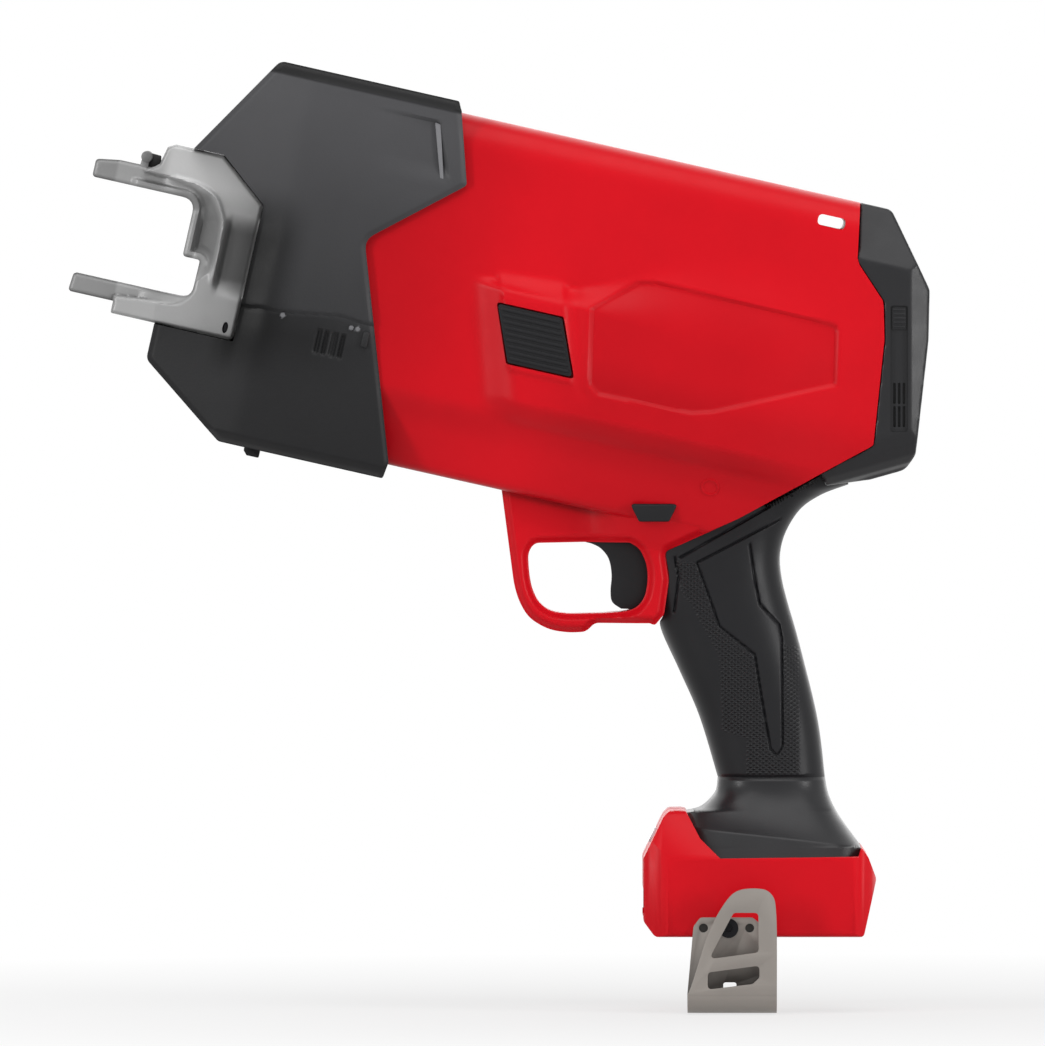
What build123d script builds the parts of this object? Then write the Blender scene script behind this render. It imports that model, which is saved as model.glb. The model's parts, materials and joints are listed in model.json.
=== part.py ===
from build123d import *
import os
from math import acos, cos, pi, radians, sin, tan

# Cordless pipe cutter, held by a pistol grip. The barrel is tilted nose-up, so its pieces are drawn
# in a barrel frame: a runs aft along the barrel and h runs up across it, both from the middle of the
# mouth. The grip, the foot and the hook are drawn upright. The origin is the middle of the battery
# foot's lower face, +X aft, +Z up, and the tool's left side faces -Y.

# Barrel frame
TILT = 12.7
MOUTH_X = -235.2
MOUTH_Z = 266.0

# Clearances
RUN_FIT = 0.05
SEAT_FIT = 0.1
PLAY = 0.3

# Screws
SCREW_SHANK_D = 3.6
SCREW_HEAD_D = 7.4
SCREW_HEAD_T = 2.6
SCREW_SINK = 4.0
SCREW_BITE = 9.0
BOSS_R = 4.5
BOLT_D = 4.0
SOCKET_R = 1.7
SOCKET_DEPTH = 1.5

# Jaw
MOUTH_TOP = 18.0
MOUTH_BOTTOM = -19.0
PRONG_TIP = -22.0
UPPER_PRONG = 8.4
LOWER_PRONG = 7.4
PRONG_T = 5.8
THROAT = 18.2
THROAT_BACK = 25.0
THROAT_STEP = -4.0
THROAT_ROUND = 5.0
RIDGE = 30.7
LUG_FRONT = -5.0
LUG_LENGTH = 3.2
LUG_HEIGHT = 5.6
CHEEK_FRONT = -3.8
CHEEK_TOP = 36.7
CHEEK_BOTTOM = -31.0
CHEEK_BACK = 44.0
CHEEK_T = 5.0
CHEEK_SLOPE_A = 18.5
CHEEK_SLOPE_H = 15.0
WEB_SLOPE = 6.0
WEB_PLAY = 0.7
BOLT_INSET = 4.2
ARM_T = 6.0
ARM_PLAY = 0.6
ARM_ROOM = 1.8
ARM_ROOT = 4.0
ARM_EYE = 14.0
FLANGE_T = 6.0
FLANGE_INSET = 4.0
FLANGE_HALF_H = 20.0
ARM_SCREW_D = 5.0
ARM_SCREW_HEAD_D = 8.5
ARM_SCREW_HEAD_T = 4.0
ARM_SCREW_H = 13.0

# Blade and its drive
BLADE_T = 3.2
BLADE_GAP = 0.6
BLADE_WIDTH = 21.0
CUT_OVERLAP = 2.0
PIVOT_A = 54.0
PIVOT_H = -24.0
PIVOT_D = 8.0
BUSH_WALL = 2.0
HUB_RIM = 2.0
SWING = 80.0
GEAR_MODULE = 2.0
BLADE_TEETH = 12
PRESSURE = 25.0
ADDENDUM = 0.8
DEDENDUM = 1.05
BACKLASH = 0.12
RACK_GAP = 1.0
RACK_T = 6.0
RACK_BAR = 7.0
RACK_LEAD_IN = 4.0
CARRIAGE_LAP = 2.0
CARRIAGE_PLAY = 0.2
DRIVE_H = 8.0
NUT_SETBACK = 23.0
NUT_LENGTH = 34.0
NUT_D = 15.0
SCREW_D = 10.0
THREAD_PITCH = 4.0
THREAD_DEPTH = 0.8

# Gearbox and motor
GEARBOX_GAP = 3.0
GEARBOX_RIM = 4.0
GEARBOX_ROOM = 1.4
GEARBOX_WALL = 5.0
GEARBOX_SCREW_D = 2.0
GEARBOX_SCREW_L = 14.0
FINE_MODULE = 1.0
SUN_TEETH = 12
PLANET_TEETH = 18
PLANET_COUNT = 3
FINE_T = 10.0
RING_RIM = 3.0
CARRIER_T = 6.0
PLANET_PIN_D = 5.0
PIN_PROUD = 1.0
SCREW_BEARING_D = 26.0
SCREW_BEARING_T = 8.0
BEARING_D = 22.0
BEARING_T = 7.0
SHAFT_D = 8.0
SUN_SHAFT_D = 6.0
COVER_T = 8.0
STATOR_INSET = 5.0
STATOR_BORE_R = 14.0
STATOR_LENGTH = 34.0
STATOR_SLOTS = 6
AIR_GAP = 0.4
WINDING_LENGTH = 6.0
MOTOR_GAP = 4.0
FAN_INSET = 1.0
FAN_T = 10.0
FAN_BLADES = 9

# Red housing
BODY_TOP = 72.5
BODY_BOTTOM = -64.0
BODY_FRONT = 78.0
BODY_ROUND = 14.0
BODY_WAIST = -36.0
BODY_KEEL = 22.0
BARREL_LENGTH = 330.0
WALL = 2.6
PAD_RISE = 7.0
PAD_SLOPE = 40.0
RIB_T = 4.0
RIB_INSET = 3.0
BUTTON_TOP = 5.0
BUTTON_HEIGHT = 21.0
BUTTON_LENGTH = 25.0
BUTTON_FRONT = 139.0
BUTTON_RAKE = 8.6
BUTTON_TRAVEL = 2.5
BUTTON_PROUD = 0.6
BUTTON_SKIN = 2.4
SLOT_A = 255.7
SLOT_H = 63.0
SLOT_LENGTH = 10.6
SLOT_HEIGHT = 4.2
SLOT_RIM = 3.0

# Nose
NOSE_FRONT = 13.5
NOSE_RISE = 4.2
NOSE_DROP = 5.4
NOSE_WALL = 3.0
NOSE_LAP = 0.5
NOSE_BROW = 1.7
NOSE_CHAMFER = 4.5
NOSE_SHOULDER = 54.0
NOSE_SCREW_Y = 26.0
POCKET_RIM = 2.0
POCKET_FLARE = 25.0

# Rear cap
CAP_WALL = 3.0
VENT_COUNT = 6
VENT_WIDTH = 4.4
VENT_HEIGHT = 2.6
VENT_STEP = 5.6

# Grip, guard and controls
GRIP_HALF = 17.5
CORE_HALF = 14.0
CORE_FRONT = -11.5
CORE_BACK = 22.5
GUARD_HALF = 10.0
GUARD_ROOF = 149.6
GUARD_FLOOR = 123.0
NECK_HALF = 19.0
COLLAR_Z = 60.0
TRIGGER_HALF = 7.5
TRIGGER_TRAVEL = 6.0
TRIGGER_POST = -42.0
TRIGGER_BACK = -39.0
STEM_Z = 136.0
STEM_R = 2.5
SWITCH_FRONT = -27.8
SWITCH_BACK = -4.0
SWITCH_HEIGHT = 19.0
SPRING_WIRE = 0.5
SPRING_R = 4.5
SHUTTLE_TRAVEL = 2.5
SHUTTLE_X = -39.2
SHUTTLE_Z = 160.8
SHUTTLE_TOP = 9.1
SHUTTLE_BOTTOM = 5.7
SHUTTLE_HALF_H = 3.4

# Battery foot and belt hook
FOOT_HALF = 38.0
FOOT_TOP = 48.5
FOOT_WALL = 5.0
RAIL_LIP = 4.0
SLIDE_Z = 9.0
SLIDE_BACK = 36.0
CEILING_Z = 18.0
CEILING_T = 3.0
BOARD_T = 1.6
BOARD_ROOM_H = 7.0
LEDGE_T = 2.0
SLEEVE_WALL = 2.6
SLEEVE_TOP = 44.0
CHIP_HEIGHT = 3.5
BLOCK_FRONT = -4.0
BLOCK_HALF = 14.0
BLOCK_HEIGHT = 8.0
CONTACT_LENGTH = 12.0
CONTACT_T = 0.8
CONTACT_STEP = 6.0
LIGHT_WIDTH = 16.0
LIGHT_HEIGHT = 6.0
LIGHT_DEPTH = 2.0
LIGHT_PROUD = 0.8
HOOK_T = 1.6
HOOK_GAP = 11.0
HOOK_BOTTOM = -28.4
HOOK_FRONT = -26.6
HOOK_BACK = 7.2

# Sizes that follow from those above
RING_TEETH = SUN_TEETH + 2 * PLANET_TEETH
RING_PITCH_R = FINE_MODULE * RING_TEETH / 2
RING_R = RING_PITCH_R + RING_RIM
GEARBOX_R = RING_R + GEARBOX_RIM
BODY_HALF = GEARBOX_R + GEARBOX_ROOM + WALL
PAD_HALF = BODY_HALF + PAD_RISE
STATOR_R = GEARBOX_R - STATOR_INSET
FAN_R = STATOR_R - FAN_INSET
SLOT_HALF = BLADE_T / 2 + BLADE_GAP
PRONG_OUT = SLOT_HALF + PRONG_T
RACK_IN = BLADE_T / 2 + RACK_GAP
RACK_OUT = RACK_IN + RACK_T
ARM_IN = RACK_OUT + ARM_PLAY
ARM_OUT = ARM_IN + ARM_T
POCKET_HALF = ARM_OUT + ARM_ROOM + NOSE_WALL
CHEEK_IN = POCKET_HALF + PLAY
CHEEK_OUT = CHEEK_IN + CHEEK_T
NOSE_FRONT_HALF = CHEEK_OUT + NOSE_BROW
NOSE_HALF = BODY_HALF + NOSE_LAP + NOSE_WALL
NOSE_TOP = BODY_TOP + NOSE_RISE
NOSE_BOTTOM = BODY_BOTTOM - NOSE_DROP
SLIDE_HALF = FOOT_HALF - FOOT_WALL
RAIL_HALF = SLIDE_HALF - RAIL_LIP
BOARD_Z = CEILING_Z + CEILING_T
BOARD_ROOF = BOARD_Z + BOARD_ROOM_H
CORE_FOOT = BOARD_ROOF + LEDGE_T
SLEEVE_HALF = CORE_HALF + SLEEVE_WALL
NUT_FRONT = PIVOT_A + NUT_SETBACK
NUT_BACK = NUT_FRONT + NUT_LENGTH
GEARBOX_FRONT = NUT_BACK + GEARBOX_GAP
GEAR_R = GEAR_MODULE * BLADE_TEETH / 2
RACK_TRAVEL = GEAR_R * radians(SWING)
WEB_BACK = PIVOT_A - RACK_LEAD_IN - RACK_TRAVEL - WEB_PLAY

AFT = Vector(cos(radians(TILT)), 0, -sin(radians(TILT)))
UP = Vector(sin(radians(TILT)), 0, cos(radians(TILT)))
MOUTH = Vector(MOUTH_X, 0, MOUTH_Z)
SIDE = Plane(origin=MOUTH, x_dir=AFT, z_dir=(0, -1, 0))
OVER = Plane(origin=MOUTH, x_dir=AFT, z_dir=UP)
UPRIGHT = Plane.XZ
FRONT = Plane.YZ


def across(a, h=DRIVE_H):
    """Plane square to the barrel at a, with its middle at height h."""
    return Plane(origin=MOUTH + AFT * a + UP * h, x_dir=(0, 1, 0), z_dir=AFT)


def to_barrel(x, z):
    """Barrel frame place of an upright point on the middle plane."""
    step = Vector(x, 0, z) - MOUTH
    return (step.dot(AFT), step.dot(UP))


def outline(plane, points, radius=0.0):
    """Flat face bounded by straight runs, with rounded corners."""
    with BuildSketch(plane) as face:
        with BuildLine():
            FilletPolyline(*points, radius=radius, close=True)
        make_face()
    return face.sketch


def box_points(x0, y0, x1, y1):
    """Corners of an upright rectangle."""
    return [(x0, y0), (x0, y1), (x1, y1), (x1, y0)]


def disc(plane, radius, bore=0.0):
    """Round face, with a hole in its middle where bore is more than 0."""
    with BuildSketch(plane) as face:
        Circle(radius)
        if bore > 0:
            Circle(bore, mode=Mode.SUBTRACT)
    return face.sketch


def discs(plane, places, radius):
    """Round faces at a list of places on one plane."""
    with BuildSketch(plane) as face:
        with Locations(*places):
            Circle(radius)
    return face.sketch


def hexagons(plane, places):
    """Hexagon sockets at a list of places on one plane."""
    with BuildSketch(plane) as face:
        with Locations(*places):
            RegularPolygon(SOCKET_R, 6)
    return face.sketch


def gear_points(module, teeth, tip, root, slim, turn):
    """Points round a spur gear with involute flanks; slim narrows each tooth at the pitch circle."""
    pitch_r = module * teeth / 2
    base_r = pitch_r * cos(radians(PRESSURE))
    half_tooth = (pi * module / 2 - slim) / (2 * pitch_r)
    involute_at_pitch = tan(radians(PRESSURE)) - radians(PRESSURE)
    low = max(root, base_r)
    radii = [root] + [low + (tip - low) * step / 4 for step in range(5)]

    def half_angle(radius):
        lean = acos(min(1.0, base_r / max(radius, base_r)))
        return half_tooth + involute_at_pitch - (tan(lean) - lean)

    points = []
    for tooth in range(teeth):
        middle = radians(turn) + 2 * pi * tooth / teeth
        rising = [(r, middle - half_angle(r)) for r in radii]
        falling = [(r, middle + half_angle(r)) for r in reversed(radii)]
        points += [(r * cos(t), r * sin(t)) for r, t in rising + falling]
    kept = [points[0]]
    for point in points[1:]:
        if (Vector(point) - Vector(kept[-1])).length > 1e-3:
            kept.append(point)
    return kept


def gear_face(plane, module, teeth, turn, bore=0.0):
    """Face of an external spur gear."""
    pitch_r = module * teeth / 2
    tip = pitch_r + ADDENDUM * module
    root = pitch_r - DEDENDUM * module
    with BuildSketch(plane) as face:
        with BuildLine():
            Polyline(*gear_points(module, teeth, tip, root, BACKLASH, turn), close=True)
        make_face()
        if bore > 0:
            Circle(bore, mode=Mode.SUBTRACT)
    return face.sketch


# Blade pack: the blade rests raised inside the nose and swings down through the mouth
BLADE_TIP_X = PRONG_TIP + 1.0 - PIVOT_A
EDGE_Y = MOUTH_BOTTOM - CUT_OVERLAP - PIVOT_H
BACK_Y = EDGE_Y + BLADE_WIDTH
HUB_R = GEAR_R + HUB_RIM
BUSH_R = PIVOT_D / 2 + BUSH_WALL
BLADE_X = AFT * cos(radians(SWING)) - UP * sin(radians(SWING))
PIVOT = MOUTH + AFT * PIVOT_A + UP * PIVOT_H
BLADE_PLANE = Plane(origin=PIVOT, x_dir=BLADE_X, z_dir=(0, -1, 0))
PIVOT_PLANE = Plane(origin=PIVOT, x_dir=AFT, z_dir=(0, -1, 0))

BLADE_OUTLINE = [
    (BLADE_TIP_X, EDGE_Y),
    (BLADE_TIP_X + BLADE_WIDTH / 3, EDGE_Y + BLADE_WIDTH / 2),
    (BLADE_TIP_X + BLADE_WIDTH * 1.5, BACK_Y),
    (-HUB_R / 2, BACK_Y),
    (HUB_R / 2, 0),
    (-HUB_R / 2, EDGE_Y),
]
with BuildPart() as blade:
    extrude(outline(BLADE_PLANE, BLADE_OUTLINE, [0, 2, 4, 0, 0, 0]), amount=BLADE_T / 2, both=True)
    extrude(disc(BLADE_PLANE, HUB_R), amount=BLADE_T / 2, both=True)
    extrude(disc(BLADE_PLANE, BUSH_R + SEAT_FIT), amount=BLADE_T, both=True, mode=Mode.SUBTRACT)

with BuildPart() as blade_gears:
    for inner in (BLADE_T / 2, -RACK_OUT):
        face = gear_face(PIVOT_PLANE.offset(inner), GEAR_MODULE, BLADE_TEETH, 90, BUSH_R + SEAT_FIT)
        extrude(face, amount=RACK_OUT - BLADE_T / 2)

with BuildPart() as pivot_bush:
    extrude(disc(PIVOT_PLANE, BUSH_R, PIVOT_D / 2 + RUN_FIT), amount=RACK_OUT, both=True)

# Jaw: two cast halves, each a slotted prong plate, a web at the throat, a cheek and an arm
PRONG_TOP = MOUTH_TOP + UPPER_PRONG
PRONG_BASE = MOUTH_BOTTOM - LOWER_PRONG
LUG_TOP = PRONG_TOP + LUG_HEIGHT
SLOT_FLOOR = MOUTH_BOTTOM - CUT_OVERLAP - BLADE_GAP
FLANGE_OUT = GEARBOX_R - FLANGE_INSET
ARM_SCREW_Y = (ARM_OUT + FLANGE_OUT) / 2
BOLT_SEAT = CHEEK_OUT - SCREW_HEAD_T - PLAY
BOLT_END = ARM_IN + ARM_T / 4
CHEEK_BOLT = (CHEEK_BACK - BOLT_INSET, CHEEK_BOTTOM + BOLT_INSET)

PRONG_OUTLINE = [
    (PRONG_TIP, MOUTH_TOP),
    (PRONG_TIP, PRONG_TOP - 1.5),
    (PRONG_TIP + 9, PRONG_TOP),
    (LUG_FRONT, PRONG_TOP),
    (LUG_FRONT, LUG_TOP),
    (LUG_FRONT + LUG_LENGTH, LUG_TOP),
    (LUG_FRONT + LUG_LENGTH, PRONG_TOP),
    (WEB_BACK, PRONG_TOP),
    (WEB_BACK, PRONG_BASE),
    (PRONG_TIP + 0.5, PRONG_BASE),
    (PRONG_TIP + 1.2, MOUTH_BOTTOM),
    (THROAT_BACK, MOUTH_BOTTOM),
    (THROAT_BACK, THROAT_STEP),
    (THROAT, THROAT_STEP),
    (THROAT, MOUTH_TOP),
]
PRONG_ROUNDS = [1, 1, 3, 0, 1, 1, 0, 0, 0, 1, 1, THROAT_ROUND, 1, 1.5, THROAT_ROUND]
WEB_OUTLINE = [
    (CHEEK_FRONT + 9.5, PRONG_TOP - 2),
    (CHEEK_FRONT + 9.5, CHEEK_TOP),
    (WEB_BACK - WEB_SLOPE, CHEEK_TOP),
    (WEB_BACK, CHEEK_TOP - WEB_SLOPE),
    (WEB_BACK, CHEEK_BOTTOM),
    (CHEEK_FRONT, CHEEK_BOTTOM),
    (CHEEK_FRONT, PRONG_BASE + 2.2),
    (THROAT_BACK, PRONG_BASE + 4),
    (THROAT_BACK, THROAT_STEP),
    (THROAT, THROAT_STEP),
    (THROAT, PRONG_TOP - 2),
]
CHEEK_OUTLINE = [
    (CHEEK_FRONT + 1, PRONG_TOP - 2),
    (CHEEK_FRONT + 6, PRONG_TOP + 2),
    (CHEEK_FRONT + 7.5, CHEEK_TOP - 1.5),
    (CHEEK_FRONT + 10, CHEEK_TOP),
    (CHEEK_BACK - CHEEK_SLOPE_A, CHEEK_TOP),
    (CHEEK_BACK, CHEEK_TOP - CHEEK_SLOPE_H),
    (CHEEK_BACK, CHEEK_BOTTOM),
    (CHEEK_FRONT, CHEEK_BOTTOM),
    (CHEEK_FRONT, PRONG_BASE + 2),
    (THROAT, PRONG_BASE + 4),
    (RIDGE, MOUTH_BOTTOM + 9),
    (RIDGE, MOUTH_TOP - 6),
    (RIDGE - 6, PRONG_TOP - 5),
    (THROAT - 8, PRONG_TOP - 2.5),
]
CHEEK_ROUNDS = [0, 2, 1, 1, 2, 1, 2.5, 1, 1, 8, 6, 4, 3, 3]
ARM_OUTLINE = [
    (WEB_BACK - ARM_ROOT, DRIVE_H + FLANGE_HALF_H),
    (GEARBOX_FRONT, DRIVE_H + FLANGE_HALF_H),
    (GEARBOX_FRONT, DRIVE_H - FLANGE_HALF_H),
    (PIVOT_A + 1.6 * ARM_EYE, PIVOT_H),
    (PIVOT_A + 0.7 * ARM_EYE, PIVOT_H - ARM_EYE),
    (PIVOT_A - 0.7 * ARM_EYE, PIVOT_H - ARM_EYE),
    (WEB_BACK - ARM_ROOT, CHEEK_BOTTOM + 1),
]
with BuildPart() as jaw_left:
    extrude(outline(SIDE.offset(SLOT_HALF), PRONG_OUTLINE, PRONG_ROUNDS), amount=PRONG_T)
    extrude(outline(SIDE.offset(PRONG_OUT - 1), WEB_OUTLINE), amount=CHEEK_IN - PRONG_OUT + 1)
    # The throat opens out in a slanted face from the prong plate to the cheek's ridge
    slant = [(THROAT - 20, PRONG_OUT), (THROAT, PRONG_OUT), (RIDGE, CHEEK_IN), (THROAT - 20, CHEEK_IN)]
    mouth_mid = (MOUTH_TOP + MOUTH_BOTTOM) / 2
    slant_face = outline(OVER.offset(mouth_mid), [(a, -y) for a, y in slant])
    extrude(slant_face, amount=(PRONG_TOP - MOUTH_BOTTOM) / 2 - 2, both=True, mode=Mode.SUBTRACT)
    extrude(outline(SIDE.offset(CHEEK_IN), CHEEK_OUTLINE, CHEEK_ROUNDS), amount=CHEEK_T)
    # The anvil under the slot joins the two halves on the middle plane
    anvil = [
        (PRONG_TIP + 1.2, PRONG_BASE),
        (PRONG_TIP + 1.2, SLOT_FLOOR),
        (WEB_BACK, SLOT_FLOOR),
        (WEB_BACK, PRONG_BASE),
    ]
    extrude(outline(SIDE, anvil), amount=SLOT_HALF + 1)
    extrude(outline(SIDE.offset(ARM_IN), ARM_OUTLINE, 2.0), amount=ARM_T)
    with BuildSketch(across(GEARBOX_FRONT)):
        with Locations((-(ARM_IN + FLANGE_OUT) / 2, 0)):
            RectangleRounded(FLANGE_OUT - ARM_IN, 2 * FLANGE_HALF_H, 3)
    extrude(amount=-FLANGE_T)
    pin_hole = disc(PIVOT_PLANE.offset(ARM_IN - 1), PIVOT_D / 2 + SEAT_FIT)
    extrude(pin_hole, amount=ARM_T + 2, mode=Mode.SUBTRACT)
    extrude(
        discs(SIDE.offset(BOLT_END - SEAT_FIT), [CHEEK_BOLT], BOLT_D / 2 + SEAT_FIT),
        amount=CHEEK_OUT,
        mode=Mode.SUBTRACT,
    )
    extrude(
        discs(SIDE.offset(BOLT_SEAT), [CHEEK_BOLT], SCREW_HEAD_D / 2 + SEAT_FIT),
        amount=CHEEK_OUT,
        mode=Mode.SUBTRACT,
    )
    arm_holes = [(-ARM_SCREW_Y, ARM_SCREW_H), (-ARM_SCREW_Y, -ARM_SCREW_H)]
    extrude(
        discs(across(GEARBOX_FRONT - FLANGE_T - 1), arm_holes, ARM_SCREW_D / 2 + SEAT_FIT),
        amount=FLANGE_T + 2,
        mode=Mode.SUBTRACT,
    )
with BuildPart() as jaw_right:
    mirror(jaw_left.part, about=Plane.XZ)

with BuildPart() as pivot_pin:
    extrude(disc(PIVOT_PLANE, PIVOT_D / 2), amount=ARM_OUT, both=True)

with BuildPart() as cheek_screws:
    extrude(discs(SIDE.offset(BOLT_END), [CHEEK_BOLT], BOLT_D / 2), amount=BOLT_SEAT - BOLT_END)
    extrude(discs(SIDE.offset(BOLT_SEAT), [CHEEK_BOLT], SCREW_HEAD_D / 2), amount=SCREW_HEAD_T)
    socket = hexagons(SIDE.offset(BOLT_SEAT + SCREW_HEAD_T), [CHEEK_BOLT])
    extrude(socket, amount=-SOCKET_DEPTH, mode=Mode.SUBTRACT)
    mirror(about=Plane.XZ)

with BuildPart() as arm_screws:
    both_sides = arm_holes + [(-y, h) for y, h in arm_holes]
    extrude(
        discs(across(GEARBOX_FRONT - FLANGE_T), both_sides, ARM_SCREW_D / 2),
        amount=FLANGE_T + GEARBOX_WALL - PLAY,
    )
    extrude(
        discs(across(GEARBOX_FRONT - FLANGE_T), both_sides, ARM_SCREW_HEAD_D / 2),
        amount=-ARM_SCREW_HEAD_T,
    )

# Rack carriage: two toothed bars straddle the blade, and a block holds the nut on the screw
RACK_PITCH_H = PIVOT_H + GEAR_R
RACK_FRONT = PIVOT_A - RACK_LEAD_IN
RACK_STEP = pi * GEAR_MODULE
RACK_TIP_H = RACK_PITCH_H - ADDENDUM * GEAR_MODULE
RACK_ROOT_H = RACK_PITCH_H + DEDENDUM * GEAR_MODULE
RACK_TOP_H = RACK_ROOT_H + RACK_BAR
CARRIAGE_HALF = ARM_IN - CARRIAGE_PLAY
CARRIAGE_HALF_H = DRIVE_H - RACK_TOP_H + CARRIAGE_LAP


def rack_points():
    """Points round one toothed bar; a space lies over the pivot at rest."""
    lean = tan(radians(PRESSURE))
    half_tooth = (RACK_STEP / 2 - BACKLASH) / 2
    at_root = half_tooth + lean * DEDENDUM * GEAR_MODULE
    at_tip = half_tooth - lean * ADDENDUM * GEAR_MODULE
    last = PIVOT_A + RACK_TRAVEL + RACK_LEAD_IN
    points = [(RACK_FRONT, RACK_TOP_H), (RACK_FRONT, RACK_ROOT_H)]
    middle = PIVOT_A + RACK_STEP / 2
    while middle - at_root < last:
        points += [
            (middle - at_root, RACK_ROOT_H),
            (middle - at_tip, RACK_TIP_H),
            (middle + at_tip, RACK_TIP_H),
            (middle + at_root, RACK_ROOT_H),
        ]
        middle += RACK_STEP
    return points + [(NUT_BACK, RACK_ROOT_H), (NUT_BACK, RACK_TOP_H)]


with BuildPart() as drive_rack:
    for inner in (RACK_IN, -RACK_OUT):
        extrude(outline(SIDE.offset(inner), rack_points()), amount=RACK_T)
    with BuildSketch(across(NUT_FRONT)):
        RectangleRounded(2 * CARRIAGE_HALF, 2 * CARRIAGE_HALF_H, 2)
    extrude(amount=NUT_LENGTH)
    extrude(disc(across(NUT_FRONT - 1), NUT_D / 2 + SEAT_FIT), amount=NUT_LENGTH + 2, mode=Mode.SUBTRACT)

with BuildPart() as drive_nut:
    extrude(disc(across(NUT_FRONT), NUT_D / 2, SCREW_D / 2 + PLAY), amount=NUT_LENGTH)

# Screw: the threaded part, a journal in its bearing and a stub in the carrier
SCREW_BEARING_A = GEARBOX_FRONT + GEARBOX_WALL
CARRIER_A = SCREW_BEARING_A + SCREW_BEARING_T + 2.0
PLANET_A = CARRIER_A + CARRIER_T + 1.5
COVER_A = PLANET_A + FINE_T + 3.5
JOURNAL_R = SCREW_D / 2
THREAD_START = NUT_FRONT + 1.0
THREAD_COUNT = int((GEARBOX_FRONT - 2.0 - THREAD_START) / THREAD_PITCH)


def screw_points():
    """Half section of the screw, with its thread shown as rings; a from its front, r from its axis."""
    crest = SCREW_D / 2
    root = crest - THREAD_DEPTH
    points = [(0, 0), (0, root)]
    for turn in range(THREAD_COUNT):
        start = turn * THREAD_PITCH
        points += [
            (start + 1.0, root),
            (start + 1.0 + THREAD_DEPTH / 2, crest),
            (start + THREAD_PITCH - 1.0, crest),
            (start + THREAD_PITCH - 1.0 + THREAD_DEPTH / 2, root),
        ]
    end = CARRIER_A + CARRIER_T - THREAD_START
    points += [(SCREW_BEARING_A - 3.0 - THREAD_START, root)]
    points += [(SCREW_BEARING_A - 3.0 - THREAD_START, JOURNAL_R), (end, JOURNAL_R), (end, 0)]
    return points


with BuildPart() as drive_screw:
    screw_plane = Plane(origin=across(THREAD_START).origin, x_dir=AFT, z_dir=(0, -1, 0))
    screw_face = outline(screw_plane, screw_points())
    revolve(screw_face, axis=Axis(across(THREAD_START).origin, AFT))

with BuildPart() as screw_bearing:
    extrude(disc(across(SCREW_BEARING_A), SCREW_BEARING_D / 2, JOURNAL_R + RUN_FIT), amount=SCREW_BEARING_T)

# Planetary stage
CARRIER_R = FINE_MODULE * (SUN_TEETH + PLANET_TEETH) / 2
PLANET_BEARINGS = [360 * n / PLANET_COUNT for n in range(PLANET_COUNT)]
PLANET_PLACES = [(CARRIER_R * cos(radians(t)), CARRIER_R * sin(radians(t))) for t in PLANET_BEARINGS]

with BuildPart() as planet_carrier:
    extrude(disc(across(CARRIER_A), CARRIER_R + PLANET_PIN_D, JOURNAL_R + SEAT_FIT), amount=CARRIER_T)
    pin_holes = discs(across(CARRIER_A), PLANET_PLACES, PLANET_PIN_D / 2 + RUN_FIT)
    extrude(pin_holes, amount=CARRIER_T, mode=Mode.SUBTRACT)

with BuildPart() as planet_pins:
    pin_faces = discs(across(CARRIER_A), PLANET_PLACES, PLANET_PIN_D / 2)
    extrude(pin_faces, amount=PLANET_A + FINE_T + PIN_PROUD - CARRIER_A)

planets = []
for bearing, (py, ph) in zip(PLANET_BEARINGS, PLANET_PLACES):
    planet_plane = Plane(
        origin=across(PLANET_A).origin + Vector(0, py, 0) + UP * ph, x_dir=(0, 1, 0), z_dir=AFT
    )
    with BuildPart() as planet:
        turn = bearing + 180 / PLANET_TEETH
        face = gear_face(planet_plane, FINE_MODULE, PLANET_TEETH, turn, PLANET_PIN_D / 2 + RUN_FIT)
        extrude(face, amount=FINE_T)
    planets.append(planet)

with BuildPart() as sun_gear:
    face = gear_face(across(PLANET_A - 0.5), FINE_MODULE, SUN_TEETH, 0, SUN_SHAFT_D / 2 + SEAT_FIT / 2)
    extrude(face, amount=FINE_T + 1)

with BuildPart() as ring_gear:
    extrude(disc(across(PLANET_A - 1), RING_R), amount=FINE_T + 2)
    with BuildSketch(across(PLANET_A - 1)):
        with BuildLine():
            Polyline(
                *gear_points(
                    FINE_MODULE,
                    RING_TEETH,
                    RING_PITCH_R + DEDENDUM * FINE_MODULE,
                    RING_PITCH_R - ADDENDUM * FINE_MODULE,
                    -BACKLASH,
                    180 / RING_TEETH,
                ),
                close=True,
            )
        make_face()
    extrude(amount=FINE_T + 2, mode=Mode.SUBTRACT)

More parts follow.
